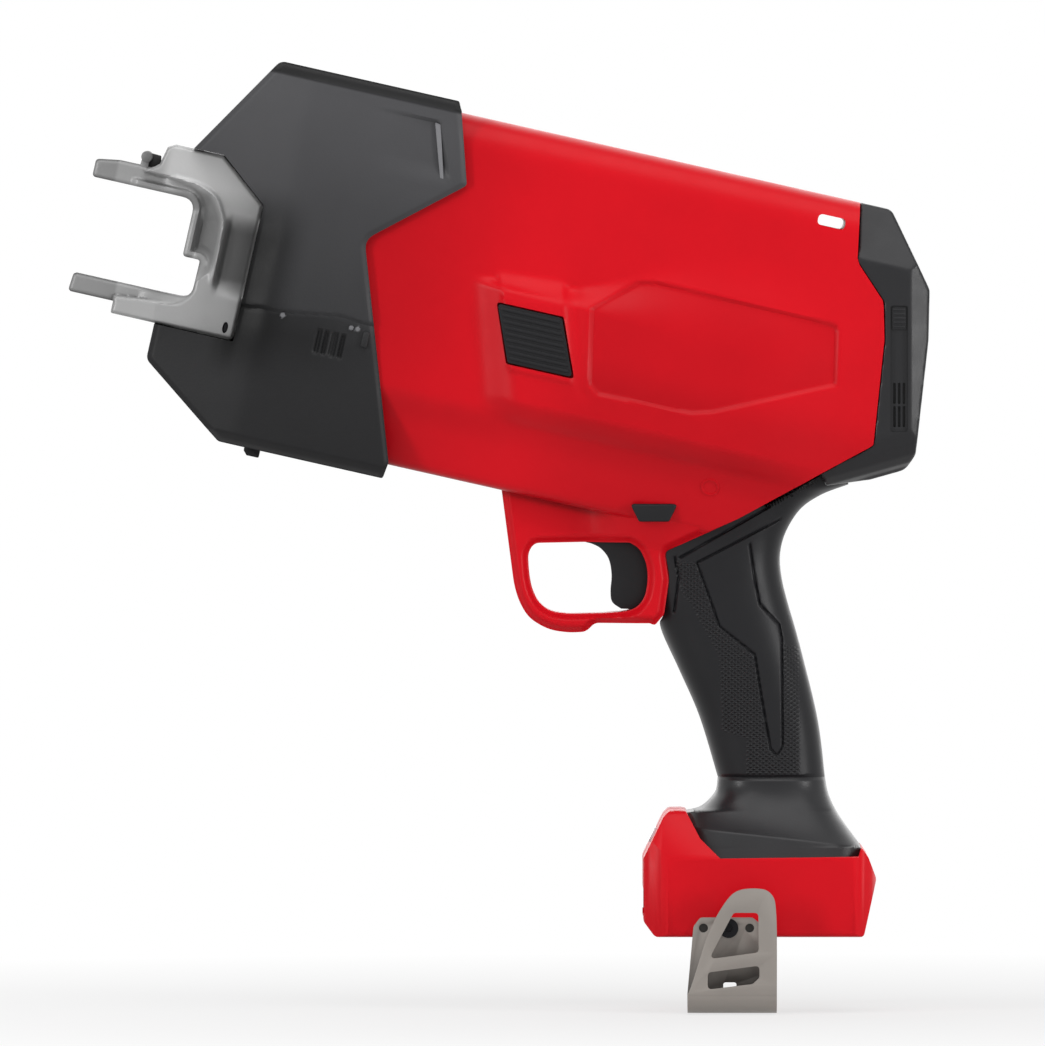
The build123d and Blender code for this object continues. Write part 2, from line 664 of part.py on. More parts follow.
GEARBOX_SCREWS = [((RING_R + GEARBOX_R) / 2, 45 + 90 * n) for n in range(4)]
GEARBOX_HOLES = [(r * cos(radians(t)), r * sin(radians(t))) for r, t in GEARBOX_SCREWS]
with BuildPart() as gearbox_housing:
    extrude(disc(across(GEARBOX_FRONT), GEARBOX_R), amount=COVER_A - GEARBOX_FRONT)
    extrude(disc(across(GEARBOX_FRONT), SCREW_D / 2 + 1.5), amount=GEARBOX_WALL, mode=Mode.SUBTRACT)
    seat = disc(across(SCREW_BEARING_A), SCREW_BEARING_D / 2 + SEAT_FIT)
    extrude(seat, amount=SCREW_BEARING_T, mode=Mode.SUBTRACT)
    room = disc(across(SCREW_BEARING_A + SCREW_BEARING_T), RING_R + SEAT_FIT)
    extrude(room, amount=COVER_A - SCREW_BEARING_A - SCREW_BEARING_T, mode=Mode.SUBTRACT)
    tapped = discs(across(GEARBOX_FRONT), both_sides, ARM_SCREW_D / 2 + SEAT_FIT)
    extrude(tapped, amount=GEARBOX_WALL, mode=Mode.SUBTRACT)
    thread = discs(across(COVER_A), GEARBOX_HOLES, GEARBOX_SCREW_D / 2 + SEAT_FIT)
    extrude(thread, amount=COVER_T - GEARBOX_SCREW_L - 0.5, mode=Mode.SUBTRACT)

with BuildPart() as gearbox_cover:
    extrude(disc(across(COVER_A), GEARBOX_R, SHAFT_D / 2 + 1), amount=COVER_T)
    pocket = disc(across(COVER_A + COVER_T), BEARING_D / 2 + SEAT_FIT)
    extrude(pocket, amount=-BEARING_T, mode=Mode.SUBTRACT)
    thread = discs(across(COVER_A), GEARBOX_HOLES, GEARBOX_SCREW_D / 2 + SEAT_FIT)
    extrude(thread, amount=COVER_T, mode=Mode.SUBTRACT)

with BuildPart() as gearbox_screws:
    head_plane = across(COVER_A + COVER_T)
    extrude(discs(head_plane, GEARBOX_HOLES, GEARBOX_SCREW_D / 2), amount=-GEARBOX_SCREW_L)
    extrude(discs(head_plane, GEARBOX_HOLES, GEARBOX_SCREW_D * 0.95), amount=GEARBOX_SCREW_D * 0.8)

# Motor
FRONT_BEARING_A = COVER_A + COVER_T - BEARING_T
STATOR_A = COVER_A + COVER_T + WINDING_LENGTH + MOTOR_GAP
STATOR_BACK = STATOR_A + STATOR_LENGTH
REAR_BEARING_A = STATOR_BACK + WINDING_LENGTH + MOTOR_GAP
FAN_A = REAR_BEARING_A + BEARING_T + MOTOR_GAP
SHAFT_BACK = FAN_A + FAN_T + 2.0
COIL_R = (STATOR_BORE_R + STATOR_R) / 2 - 1
COIL_DEPTH = (STATOR_R - STATOR_BORE_R) * 0.6

with BuildPart() as motor_stator:
    extrude(disc(across(STATOR_A), STATOR_R, STATOR_BORE_R), amount=STATOR_LENGTH)
    with BuildSketch(across(STATOR_A)):
        with PolarLocations(COIL_R, STATOR_SLOTS):
            RectangleRounded(COIL_DEPTH, STATOR_BORE_R / 2, 1)
    extrude(amount=STATOR_LENGTH, mode=Mode.SUBTRACT)

with BuildPart() as motor_windings:
    for start in (STATOR_A - WINDING_LENGTH, STATOR_BACK):
        with BuildSketch(across(start)):
            with PolarLocations(COIL_R, STATOR_SLOTS, start_angle=180 / STATOR_SLOTS):
                RectangleRounded(COIL_DEPTH, STATOR_BORE_R * 0.6, 2)
        extrude(amount=WINDING_LENGTH)

with BuildPart() as motor_rotor:
    extrude(disc(across(STATOR_A), STATOR_BORE_R - AIR_GAP, SHAFT_D / 2 + SEAT_FIT / 2), amount=STATOR_LENGTH)

with BuildPart() as motor_shaft:
    extrude(disc(across(FRONT_BEARING_A - 1), SHAFT_D / 2), amount=SHAFT_BACK - FRONT_BEARING_A + 1)
    extrude(disc(across(FRONT_BEARING_A - 1), SUN_SHAFT_D / 2), amount=PLANET_A - FRONT_BEARING_A + 1)

with BuildPart() as front_bearing:
    extrude(disc(across(FRONT_BEARING_A), BEARING_D / 2, SHAFT_D / 2 + RUN_FIT), amount=BEARING_T)

with BuildPart() as rear_bearing:
    extrude(disc(across(REAR_BEARING_A), BEARING_D / 2, SHAFT_D / 2 + RUN_FIT), amount=BEARING_T)

with BuildPart() as motor_fan:
    extrude(disc(across(FAN_A), FAN_R * 0.42, SHAFT_D / 2 + SEAT_FIT / 2), amount=FAN_T)
    extrude(disc(across(FAN_A), FAN_R, FAN_R * 0.36), amount=1.5)
    with BuildSketch(across(FAN_A)):
        with PolarLocations(FAN_R * 0.68, FAN_BLADES):
            Rectangle(FAN_R * 0.58, 1.4, rotation=25)
    extrude(amount=FAN_T)

# Red housing: barrel, guard and handle core in two halves that meet at the middle, and a battery foot
# of two shells that clamp round the core's lower end
GRIP_SEAM = [(-34.6, 144.4), (-33.4, 135.3), (-35.3, 122)]
SEAM = [(-33.8, 146.3), (-6.5, 158.8), (23.9, 175.6), (42.2, 185.4)]
CAP_SEAM = [(264.9, BODY_TOP), (268.7, 50.4), (281.7, 37.8), (285.2, 23.8), (289.9, -16.1)]
SEAM_A = [to_barrel(x, z) for x, z in SEAM]
BARREL_BASE = across(0, 0)

BODY_SECTION = [
    (-BODY_HALF, BODY_TOP),
    (BODY_HALF, BODY_TOP),
    (BODY_HALF, BODY_WAIST),
    (BODY_KEEL, BODY_BOTTOM),
    (-BODY_KEEL, BODY_BOTTOM),
    (-BODY_HALF, BODY_WAIST),
]
SECTION_ROUNDS = [BODY_ROUND, BODY_ROUND, 12, 7, 7, 12]
BARREL_OUTLINE = [
    (BODY_FRONT, BODY_TOP),
    *CAP_SEAM,
    *reversed(SEAM_A[1:]),
    (SEAM_A[0][0] + 10.5, BODY_BOTTOM),
    (BODY_FRONT, BODY_BOTTOM),
]
BARREL_ROOM = [
    (BODY_FRONT - 5, BODY_TOP - WALL),
    (BARREL_LENGTH, BODY_TOP - WALL),
    (BARREL_LENGTH, SEAM_A[3][1] + WALL + 8),
    (SEAM_A[3][0] - WALL, SEAM_A[3][1] + WALL),
    (SEAM_A[1][0] - WALL, SEAM_A[1][1] + WALL),
    (SEAM_A[0][0] + 6, BODY_BOTTOM + WALL),
    (BODY_FRONT - 5, BODY_BOTTOM + WALL),
]
PAD_OUTLINE = [
    (128, 15),
    (174, 17),
    (190, 33),
    (266, 33),
    (280, 26),
    (286, -12),
    (266, -27),
    (232, -33),
    (152, -33),
    (140, -24),
]
GUARD_OUTLINE = [
    (-98.2, 178),
    (-94.6, 150.5),
    (-91.6, 127.7),
    (-87.5, 119.5),
    (-79, 114.8),
    (-66, 115.2),
    (-60.4, 119.2),
    (-40, 119.2),
    (-40, 178),
]
GUARD_OPENING = [
    (-87.2, GUARD_ROOF),
    (-86.8, 136),
    (-84.5, 126.5),
    (-78, 122.4),
    (TRIGGER_POST, GUARD_FLOOR),
    (TRIGGER_POST, GUARD_ROOF),
]
HANDLE_FRONT = [
    (-45, 184),
    (-45, 119.2),
    (-38.8, 117.8),
    *reversed(GRIP_SEAM),
    *SEAM[:2],
    (-6.5, 184),
]
CORE_OUTLINE = [
    (-31, 160),
    (-31, 122),
    (-32, 113),
    (-26, 100),
    (-18.5, 82.5),
    (CORE_FRONT, 58),
    (CORE_FRONT, CORE_FOOT),
    (CORE_BACK, CORE_FOOT),
    (CORE_BACK, 58),
    (20, 82),
    (13.2, 110.6),
    (6.2, 135.3),
    (5.5, 148),
    (10, 158),
    (10, 168),
]
FOOT_SEAM = [(-27, 47.3), (-21.7, 37.2), (-14.1, 29.8), (38.4, 30.4), (39.5, 34)]
FOOT_OUTLINE = [
    (-43.3, 29.6),
    (-35.3, 46),
    (-33.5, 48.3),
    (-28.5, FOOT_TOP),
    *FOOT_SEAM,
    (42.2, 30),
    (45.2, 22),
    (40.3, 0),
    (-38.8, 0),
    (-43.3, 6),
]
FOOT_FACE = [
    (0, 0),
    (-FOOT_HALF, 0),
    (-FOOT_HALF, 30),
    (-FOOT_HALF + 9, FOOT_TOP),
    (0, FOOT_TOP),
]
BUTTON_OUTLINE = [
    (BUTTON_FRONT, BUTTON_TOP),
    (BUTTON_FRONT + BUTTON_LENGTH, BUTTON_TOP),
    (BUTTON_FRONT + BUTTON_LENGTH + BUTTON_RAKE, BUTTON_TOP - BUTTON_HEIGHT),
    (BUTTON_FRONT + BUTTON_RAKE, BUTTON_TOP - BUTTON_HEIGHT),
]
BUTTON_FLOOR = BODY_HALF - PLAY
BUTTON_IN = BUTTON_FLOOR + BUTTON_TRAVEL + PLAY
BUTTON_OUT = PAD_HALF + BUTTON_PROUD
BARREL_BOSSES = [(100, 60), (150, 60), (236, 58), (100, -52), (150, -52), (208, -52)]
CORE_BOSSES = [(4, 76), (-6, 106)]
FOOT_SCREWS = [(-31, 39)]
RIBS = [
    (GEARBOX_FRONT + RIB_INSET, RIB_T, GEARBOX_R + SEAT_FIT),
    (COVER_A - RIB_T / 2, RIB_T, GEARBOX_R + SEAT_FIT),
    (STATOR_A + RIB_INSET, RIB_T, STATOR_R + SEAT_FIT),
    (STATOR_BACK - RIB_INSET - RIB_T, RIB_T, STATOR_R + SEAT_FIT),
    (REAR_BEARING_A, BEARING_T, BEARING_D / 2 + SEAT_FIT),
]
SHUTTLE_HALF = BODY_KEEL + 2 * SHUTTLE_TRAVEL
SHUTTLE_OUTLINE = [
    (SHUTTLE_X - SHUTTLE_TOP, SHUTTLE_Z + SHUTTLE_HALF_H),
    (SHUTTLE_X + SHUTTLE_TOP, SHUTTLE_Z + SHUTTLE_HALF_H),
    (SHUTTLE_X + SHUTTLE_BOTTOM, SHUTTLE_Z - SHUTTLE_HALF_H),
    (SHUTTLE_X - SHUTTLE_BOTTOM, SHUTTLE_Z - SHUTTLE_HALF_H),
]
NECK_OUTLINE = [
    (-97, 176),
    (-95.5, 166.5),
    (-82, 164),
    (-66, 159.5),
    (-48, 156.5),
    (-34, 150),
    (-34, 184),
    (-90, 190),
]
TRIGGER_ROOM = box_points(TRIGGER_POST - 2, GUARD_FLOOR + PLAY, SWITCH_FRONT, GUARD_ROOF)
SLIDE_MOUTH = -60.0
SLIDE_ROOM = box_points(SLIDE_MOUTH, -5, SLIDE_BACK, CEILING_Z)
SLIDE_UPPER = box_points(SLIDE_MOUTH, SLIDE_Z, SLIDE_BACK, CEILING_Z)
BOARD_ROOM = box_points(-SLIDE_BACK, BOARD_Z, SLIDE_BACK, BOARD_ROOF)
SLEEVE = box_points(CORE_FRONT - SLEEVE_WALL, BOARD_ROOF, CORE_BACK + SLEEVE_WALL, SLEEVE_TOP)
WIRE_WAY = box_points(CORE_FRONT + WALL, BOARD_ROOF - 1, CORE_BACK - WALL, CORE_FOOT + 2 * WALL)
SLOT_FRONT = SLOT_A - SLOT_LENGTH / 2
SLOT_BACK = SLOT_A + SLOT_LENGTH / 2
SLOT_LOW = SLOT_H - SLOT_HEIGHT / 2
SLOT_HIGH = SLOT_H + SLOT_HEIGHT / 2
SLOT_FACE = box_points(SLOT_FRONT, SLOT_LOW, SLOT_BACK, SLOT_HIGH)
SLOT_BLOCK = box_points(SLOT_FRONT - SLOT_RIM, SLOT_LOW - SLOT_RIM, SLOT_BACK + SLOT_RIM, BODY_TOP)
HOOK_HOLE = (-11.0, SLIDE_Z * 0.4)
BROW_LOW = Vector(-43.3, 0, 29.6)
BROW_HIGH = Vector(-35.3, 0, 46)
BROW_NORMAL = (BROW_HIGH - BROW_LOW).cross(Vector(0, 1, 0))
LIGHT_PLANE = Plane(origin=(BROW_LOW + BROW_HIGH) / 2, x_dir=(0, 1, 0), z_dir=BROW_NORMAL)


def grown(plane, points, margin, radius=0.0):
    """Face of an outline moved outwards all round by a margin, or inwards where it is below 0."""
    with BuildSketch(plane) as face:
        with BuildLine():
            FilletPolyline(*points, radius=radius, close=True)
        make_face()
        offset(amount=margin, kind=Kind.INTERSECTION, mode=Mode.REPLACE)
    return face.sketch


def light_face(margin):
    """Face of the work light, on the floor of its pocket."""
    with BuildSketch(LIGHT_PLANE.offset(-LIGHT_DEPTH)) as face:
        RectangleRounded(LIGHT_WIDTH + 2 * margin, LIGHT_HEIGHT + 2 * margin, LIGHT_HEIGHT * 0.4)
    return face.sketch


def rib_face(a, radius):
    """Face of a rib across the barrel, with a round seat on the drive axis."""
    with BuildSketch(across(a, 0)) as rib:
        with BuildLine():
            FilletPolyline(*BODY_SECTION, radius=SECTION_ROUNDS, close=True)
        make_face()
        with Locations((0, DRIVE_H)):
            Circle(radius, mode=Mode.SUBTRACT)
    return rib.sketch


with BuildPart() as barrel_room:
    extrude(outline(SIDE, BARREL_ROOM), amount=BODY_HALF)
    inner_section = grown(BARREL_BASE, BODY_SECTION, -WALL, SECTION_ROUNDS)
    extrude(inner_section, amount=BARREL_LENGTH, mode=Mode.INTERSECT)
    for a, thickness, radius in RIBS:
        extrude(rib_face(a, radius), amount=thickness, mode=Mode.SUBTRACT)
    extrude(discs(SIDE, BARREL_BOSSES, BOSS_R), amount=BODY_HALF, mode=Mode.SUBTRACT)
    extrude(outline(SIDE, SLOT_BLOCK), amount=BODY_HALF, mode=Mode.SUBTRACT)

with BuildPart() as core_room:
    extrude(grown(UPRIGHT, CORE_OUTLINE, -WALL), amount=CORE_HALF - WALL)
    extrude(discs(UPRIGHT, CORE_BOSSES, BOSS_R), amount=CORE_HALF, mode=Mode.SUBTRACT)

with BuildPart() as housing_shell:
    extrude(outline(SIDE, BARREL_OUTLINE), amount=BODY_HALF + 1)
    section = outline(BARREL_BASE, BODY_SECTION, SECTION_ROUNDS)
    extrude(section, amount=BARREL_LENGTH, mode=Mode.INTERSECT)
    extrude(outline(SIDE.offset(BODY_HALF - 1), PAD_OUTLINE), amount=PAD_RISE + 1, taper=PAD_SLOPE)
    extrude(outline(UPRIGHT, GUARD_OUTLINE, [0, 0, 6, 5, 5, 3, 3, 0, 0]), amount=GUARD_HALF)
    extrude(outline(UPRIGHT, NECK_OUTLINE), amount=NECK_HALF)
    extrude(outline(UPRIGHT, HANDLE_FRONT), amount=GRIP_HALF)
    extrude(outline(UPRIGHT, GUARD_OPENING, [2, 0, 5, 5, 0, 0]), amount=NECK_HALF + 1, mode=Mode.SUBTRACT)
    extrude(outline(UPRIGHT, CORE_OUTLINE), amount=CORE_HALF)
    add(barrel_room.part, mode=Mode.SUBTRACT)
    add(core_room.part, mode=Mode.SUBTRACT)
    extrude(outline(UPRIGHT, TRIGGER_ROOM), amount=TRIGGER_HALF + PLAY, mode=Mode.SUBTRACT)
    extrude(outline(SIDE, SLOT_FACE, 1.0), amount=BODY_HALF + 5, mode=Mode.SUBTRACT)
    button_well = grown(SIDE.offset(BUTTON_FLOOR), BUTTON_OUTLINE, PLAY)
    extrude(button_well, amount=PAD_HALF, mode=Mode.SUBTRACT)
    extrude(grown(UPRIGHT, SHUTTLE_OUTLINE, PLAY), amount=SHUTTLE_HALF + 10, mode=Mode.SUBTRACT)
    extrude(outline(UPRIGHT, WIRE_WAY), amount=CORE_HALF - WALL, mode=Mode.SUBTRACT)

with BuildPart() as foot_shell:
    extrude(outline(UPRIGHT, FOOT_OUTLINE), amount=FOOT_HALF)
    extrude(outline(FRONT, FOOT_FACE, [0, 3, 8, 6, 0]), amount=90, both=True, mode=Mode.INTERSECT)
    extrude(outline(UPRIGHT, SLEEVE), amount=SLEEVE_HALF)
    extrude(grown(UPRIGHT, CORE_OUTLINE, SEAT_FIT), amount=CORE_HALF + SEAT_FIT, mode=Mode.SUBTRACT)
    extrude(outline(UPRIGHT, WIRE_WAY), amount=CORE_HALF - WALL, mode=Mode.SUBTRACT)
    # Battery slide: a slot open to the front and below, with a lip along each side
    extrude(outline(UPRIGHT, SLIDE_ROOM), amount=RAIL_HALF, mode=Mode.SUBTRACT)
    extrude(outline(UPRIGHT, SLIDE_UPPER), amount=SLIDE_HALF, mode=Mode.SUBTRACT)
    extrude(outline(UPRIGHT, BOARD_ROOM), amount=RAIL_HALF, mode=Mode.SUBTRACT)
    hook_hole = discs(UPRIGHT.offset(RAIL_HALF - 1), [HOOK_HOLE], BOLT_D / 2 + SEAT_FIT)
    extrude(hook_hole, amount=FOOT_HALF, mode=Mode.SUBTRACT)
    extrude(light_face(SEAT_FIT), amount=LIGHT_DEPTH + 5, mode=Mode.SUBTRACT)

# Screws go in from the right: blind holes in the left halves, counterbores in the right
BODY_SCREWS = [
    (SIDE, BARREL_BOSSES, BODY_HALF - SCREW_SINK),
    (UPRIGHT, CORE_BOSSES, CORE_HALF - SCREW_SINK),
]
CLAMP_SCREWS = [(UPRIGHT, FOOT_SCREWS, FOOT_HALF / 2)]


def cut_blind_holes(groups):
    """Cut the holes for the screws' ends from a left half."""
    for plane, places, head_y in groups:
        blind = discs(plane, places, SCREW_SHANK_D / 2 + SEAT_FIT)
        extrude(blind, amount=SCREW_BITE + 1, mode=Mode.SUBTRACT)


def cut_counterbores(groups):
    """Cut the screws' ways and head wells from a right half."""
    for plane, places, head_y in groups:
        through = discs(plane, places, SCREW_SHANK_D / 2 + SEAT_FIT)
        extrude(through, amount=-head_y - 1, mode=Mode.SUBTRACT)
        counterbore = discs(plane.offset(-head_y), places, SCREW_HEAD_D / 2 + PLAY)
        extrude(counterbore, amount=-FOOT_HALF, mode=Mode.SUBTRACT)


with BuildPart() as housing_left:
    add(housing_shell.part)
    cut_blind_holes(BODY_SCREWS)

with BuildPart() as housing_right:
    mirror(housing_shell.part, about=Plane.XZ)
    cut_counterbores(BODY_SCREWS)

with BuildPart() as foot_left:
    add(foot_shell.part)
    cut_blind_holes(CLAMP_SCREWS)

with BuildPart() as foot_right:
    mirror(foot_shell.part, about=Plane.XZ)
    cut_counterbores(CLAMP_SCREWS)

with BuildPart() as housing_screws:
    for plane, places, head_y in [*BODY_SCREWS, *CLAMP_SCREWS]:
        extrude(discs(plane.offset(SCREW_BITE), places, SCREW_SHANK_D / 2), amount=-head_y - SCREW_BITE)
        extrude(discs(plane.offset(-head_y), places, SCREW_HEAD_D / 2), amount=-SCREW_HEAD_T)

# Nose: two half covers round the jaw, open at the rear where they lap over the red housing
NOSE_OUTLINE = [
    (NOSE_FRONT, -45),
    (NOSE_FRONT, CHEEK_TOP),
    (38.5, NOSE_TOP),
    (107.8, NOSE_TOP),
    (109.8, BODY_TOP),
    (117.8, 46),
    (84.5, 17.5),
    (111.9, -63),
    (111, NOSE_BOTTOM),
    (47, NOSE_BOTTOM),
]
NOSE_ROUNDS = [2, 0, 4, 1, 2, 2, 6, 3, 1, 2]
NOSE_ROOM = [
    (NOSE_FRONT + NOSE_WALL, -44),
    (NOSE_FRONT + NOSE_WALL, CHEEK_TOP - 1),
    (40, NOSE_TOP - NOSE_WALL),
    (140, NOSE_TOP - NOSE_WALL),
    (140, NOSE_BOTTOM + NOSE_WALL),
    (48.5, NOSE_BOTTOM + NOSE_WALL),
]
NOSE_PLAN = [
    (0, -NOSE_FRONT_HALF),
    (NOSE_FRONT, -NOSE_FRONT_HALF),
    (NOSE_SHOULDER, -NOSE_HALF),
    (140, -NOSE_HALF),
    (140, NOSE_HALF),
    (NOSE_SHOULDER, NOSE_HALF),
    (NOSE_FRONT, NOSE_FRONT_HALF),
    (0, NOSE_FRONT_HALF),
]
NOSE_SECTION = [
    (-NOSE_HALF, NOSE_TOP - NOSE_CHAMFER),
    (-NOSE_HALF + NOSE_CHAMFER, NOSE_TOP),
    (NOSE_HALF - NOSE_CHAMFER, NOSE_TOP),
    (NOSE_HALF, NOSE_TOP - NOSE_CHAMFER),
    (NOSE_HALF, NOSE_BOTTOM + NOSE_CHAMFER),
    (NOSE_HALF - NOSE_CHAMFER, NOSE_BOTTOM),
    (-NOSE_HALF + NOSE_CHAMFER, NOSE_BOTTOM),
    (-NOSE_HALF, NOSE_BOTTOM + NOSE_CHAMFER),
]
CHEEK_POCKET = [
    (0, CHEEK_TOP + POCKET_RIM),
    (CHEEK_BACK - CHEEK_SLOPE_A + POCKET_RIM, CHEEK_TOP + POCKET_RIM),
    (CHEEK_BACK + POCKET_RIM, CHEEK_TOP - CHEEK_SLOPE_H + POCKET_RIM),
    (CHEEK_BACK + POCKET_RIM, CHEEK_BOTTOM - POCKET_RIM),
    (0, CHEEK_BOTTOM - POCKET_RIM),
]
JAW_NOTCH = [
    (0, CHEEK_BOTTOM - PLAY),
    (0, CHEEK_TOP + PLAY),
    (WEB_BACK - WEB_SLOPE, CHEEK_TOP + PLAY),
    (WEB_BACK + 0.5, CHEEK_TOP - WEB_SLOPE),
    (WEB_BACK + 0.5, CHEEK_BOTTOM - PLAY),
]
BLADE_WAY = [(5, CHEEK_TOP - 1), (5, 47), (24, 54), (36, 54), (36, CHEEK_TOP - 1)]
NOSE_BOSSES = [(52, 66), (70, 66), (42, -57), (70, -58)]
NOSE_LUG = [(57, NOSE_BOTTOM + 1), (57, -71), (58.5, -72.6), (63.2, -72.6), (63.2, NOSE_BOTTOM + 1)]

with BuildPart() as nose_room:
    extrude(outline(SIDE, NOSE_ROOM), amount=NOSE_HALF)
    extrude(grown(OVER, NOSE_PLAN, -NOSE_WALL), amount=150, both=True, mode=Mode.INTERSECT)
    extrude(grown(BARREL_BASE, NOSE_SECTION, -NOSE_WALL), amount=200, both=True, mode=Mode.INTERSECT)
    pocket_wall = grown(SIDE.offset(POCKET_HALF - NOSE_WALL), CHEEK_POCKET, NOSE_WALL)
    extrude(pocket_wall, amount=25, taper=-POCKET_FLARE, mode=Mode.SUBTRACT)
    extrude(discs(SIDE, NOSE_BOSSES, BOSS_R), amount=NOSE_HALF, mode=Mode.SUBTRACT)

with BuildPart() as nose_shell:
    extrude(outline(SIDE, NOSE_OUTLINE, NOSE_ROUNDS), amount=NOSE_HALF)
    extrude(outline(OVER, NOSE_PLAN), amount=150, both=True, mode=Mode.INTERSECT)
    extrude(outline(BARREL_BASE, NOSE_SECTION), amount=200, both=True, mode=Mode.INTERSECT)
    add(nose_room.part, mode=Mode.SUBTRACT)
    pocket = outline(SIDE.offset(POCKET_HALF), CHEEK_POCKET)
    extrude(pocket, amount=25, taper=-POCKET_FLARE, mode=Mode.SUBTRACT)
    extrude(outline(SIDE, JAW_NOTCH), amount=POCKET_HALF + 1, mode=Mode.SUBTRACT)
    extrude(outline(SIDE, BLADE_WAY), amount=SLOT_HALF + 0.5, mode=Mode.SUBTRACT)
    extrude(outline(SIDE, NOSE_LUG), amount=6)
    way = discs(SIDE, [CHEEK_BOLT], BOLT_D / 2 + PLAY)
    extrude(way, amount=POCKET_HALF + 1, mode=Mode.SUBTRACT)

with BuildPart() as nose_cover_left:
    add(nose_shell.part)
    blind = discs(SIDE, NOSE_BOSSES, SCREW_SHANK_D / 2 + SEAT_FIT)
    extrude(blind, amount=SCREW_BITE + 1, mode=Mode.SUBTRACT)

with BuildPart() as nose_cover_right:
    mirror(nose_shell.part, about=Plane.XZ)
    through = discs(SIDE, NOSE_BOSSES, SCREW_SHANK_D / 2 + SEAT_FIT)
    extrude(through, amount=-NOSE_SCREW_Y - 1, mode=Mode.SUBTRACT)
    counterbore = discs(SIDE.offset(-NOSE_SCREW_Y), NOSE_BOSSES, SCREW_HEAD_D / 2 + PLAY)
    extrude(counterbore, amount=-NOSE_HALF, mode=Mode.SUBTRACT)

with BuildPart() as nose_screws:
    extrude(
        discs(SIDE.offset(SCREW_BITE), NOSE_BOSSES, SCREW_SHANK_D / 2),
        amount=-NOSE_SCREW_Y - SCREW_BITE,
    )
    extrude(discs(SIDE.offset(-NOSE_SCREW_Y), NOSE_BOSSES, SCREW_HEAD_D / 2), amount=-SCREW_HEAD_T)

# Rear cap: a bumper that closes the barrel, with vents in both sides
TANG_END = (27.7, 168.7)
CAP_BACK = [
    to_barrel(*TANG_END),
    (291.7, -29.3),
    (303.9, -22.7),
    (306.3, -16.3),
    (301.5, 27.4),
    (297.7, 46.1),
    (277, BODY_TOP),
]
CAP_OUTLINE = [*CAP_SEAM, SEAM_A[3], SEAM_A[2], *CAP_BACK]
CAP_ROUNDS = [0, 0, 0, 0, 0, 0, 0, 0, 2, 6, 5, 8, 4, 4]
CAP_ROOM = [
    (240, BODY_TOP - CAP_WALL),
    (277 - CAP_WALL, BODY_TOP - CAP_WALL),
    (297.7 - CAP_WALL, 46.1 - CAP_WALL),
    (301.5 - CAP_WALL, 27.4),
    (306.3 - 1.4 * CAP_WALL, -16.3 + CAP_WALL),
    (240, -16.3 + CAP_WALL),
]
CAP_RIB = box_points(CAP_SEAM[-1][0], BODY_BOTTOM, BARREL_LENGTH, BODY_TOP)
VENT_PLACES = [(53, 197 + VENT_STEP * n) for n in range(VENT_COUNT)]
with BuildPart() as cap_room:
    extrude(outline(SIDE, CAP_ROOM), amount=BODY_HALF, both=True)
    inner_section = grown(BARREL_BASE, BODY_SECTION, -CAP_WALL, SECTION_ROUNDS)
    extrude(inner_section, amount=BARREL_LENGTH, mode=Mode.INTERSECT)
    # A rib on the middle plane stiffens the cap
    extrude(outline(SIDE, CAP_RIB), amount=CAP_WALL / 2, both=True, mode=Mode.SUBTRACT)

with BuildPart() as rear_cap:
    extrude(outline(SIDE, CAP_OUTLINE, CAP_ROUNDS), amount=BODY_HALF, both=True)
    extrude(section, amount=BARREL_LENGTH, mode=Mode.INTERSECT)
    add(cap_room.part, mode=Mode.SUBTRACT)
    with BuildSketch(UPRIGHT):
        with Locations(*VENT_PLACES):
            RectangleRounded(VENT_WIDTH, VENT_HEIGHT, 1.0)
    extrude(amount=BODY_HALF, both=True, mode=Mode.SUBTRACT)

# Grip: a soft skin over the handle core, with a tang under the barrel, and a flared collar below
GRIP_BACK = [
    (26, COLLAR_Z),
    (23.2, 82.1),
    (16.3, 110.6),
    (9.6, 135.3),
    (9.9, 149),
    (16.3, 160.5),
    TANG_END,
]
GRIP_FRONT = [(-36.5, 116.5), (-29.3, 100.3), (-21.7, 82.8), (-14.8, COLLAR_Z)]
COLLAR_SIDE = [
    (-14.8, COLLAR_Z),
    (-15.5, 55),
    (-21.7, 48.6),
    *FOOT_SEAM,
    (31.5, 45),
    (27.5, 53),
    (26, COLLAR_Z),
]
COLLAR_FACE = [
    (0, COLLAR_Z),
    (-GRIP_HALF, COLLAR_Z),
    (-GRIP_HALF - 1, 52),
    (-GRIP_HALF - 6, 42),
    (-GRIP_HALF - 14, 34),
    (-GRIP_HALF - 15, 20),
    (0, 20),
]
with BuildPart() as grip_left:
    with BuildSketch(UPRIGHT):
        with BuildLine():
            back = Spline(*GRIP_BACK)
            Polyline(back @ 1, SEAM[2], SEAM[1], SEAM[0], *GRIP_SEAM, GRIP_FRONT[0])
            front = Spline(*GRIP_FRONT)
            Line(front @ 1, back @ 0)
        make_face()
    extrude(amount=GRIP_HALF)
    extrude(outline(UPRIGHT, CORE_OUTLINE), amount=CORE_HALF, mode=Mode.SUBTRACT)
    extrude(outline(UPRIGHT, TRIGGER_ROOM), amount=TRIGGER_HALF + PLAY, mode=Mode.SUBTRACT)

with BuildPart() as grip_right:
    mirror(grip_left.part, about=Plane.XZ)
    ways = discs(UPRIGHT, CORE_BOSSES, SCREW_HEAD_D / 2 + PLAY)
    extrude(ways, amount=-GRIP_HALF - 1, mode=Mode.SUBTRACT)

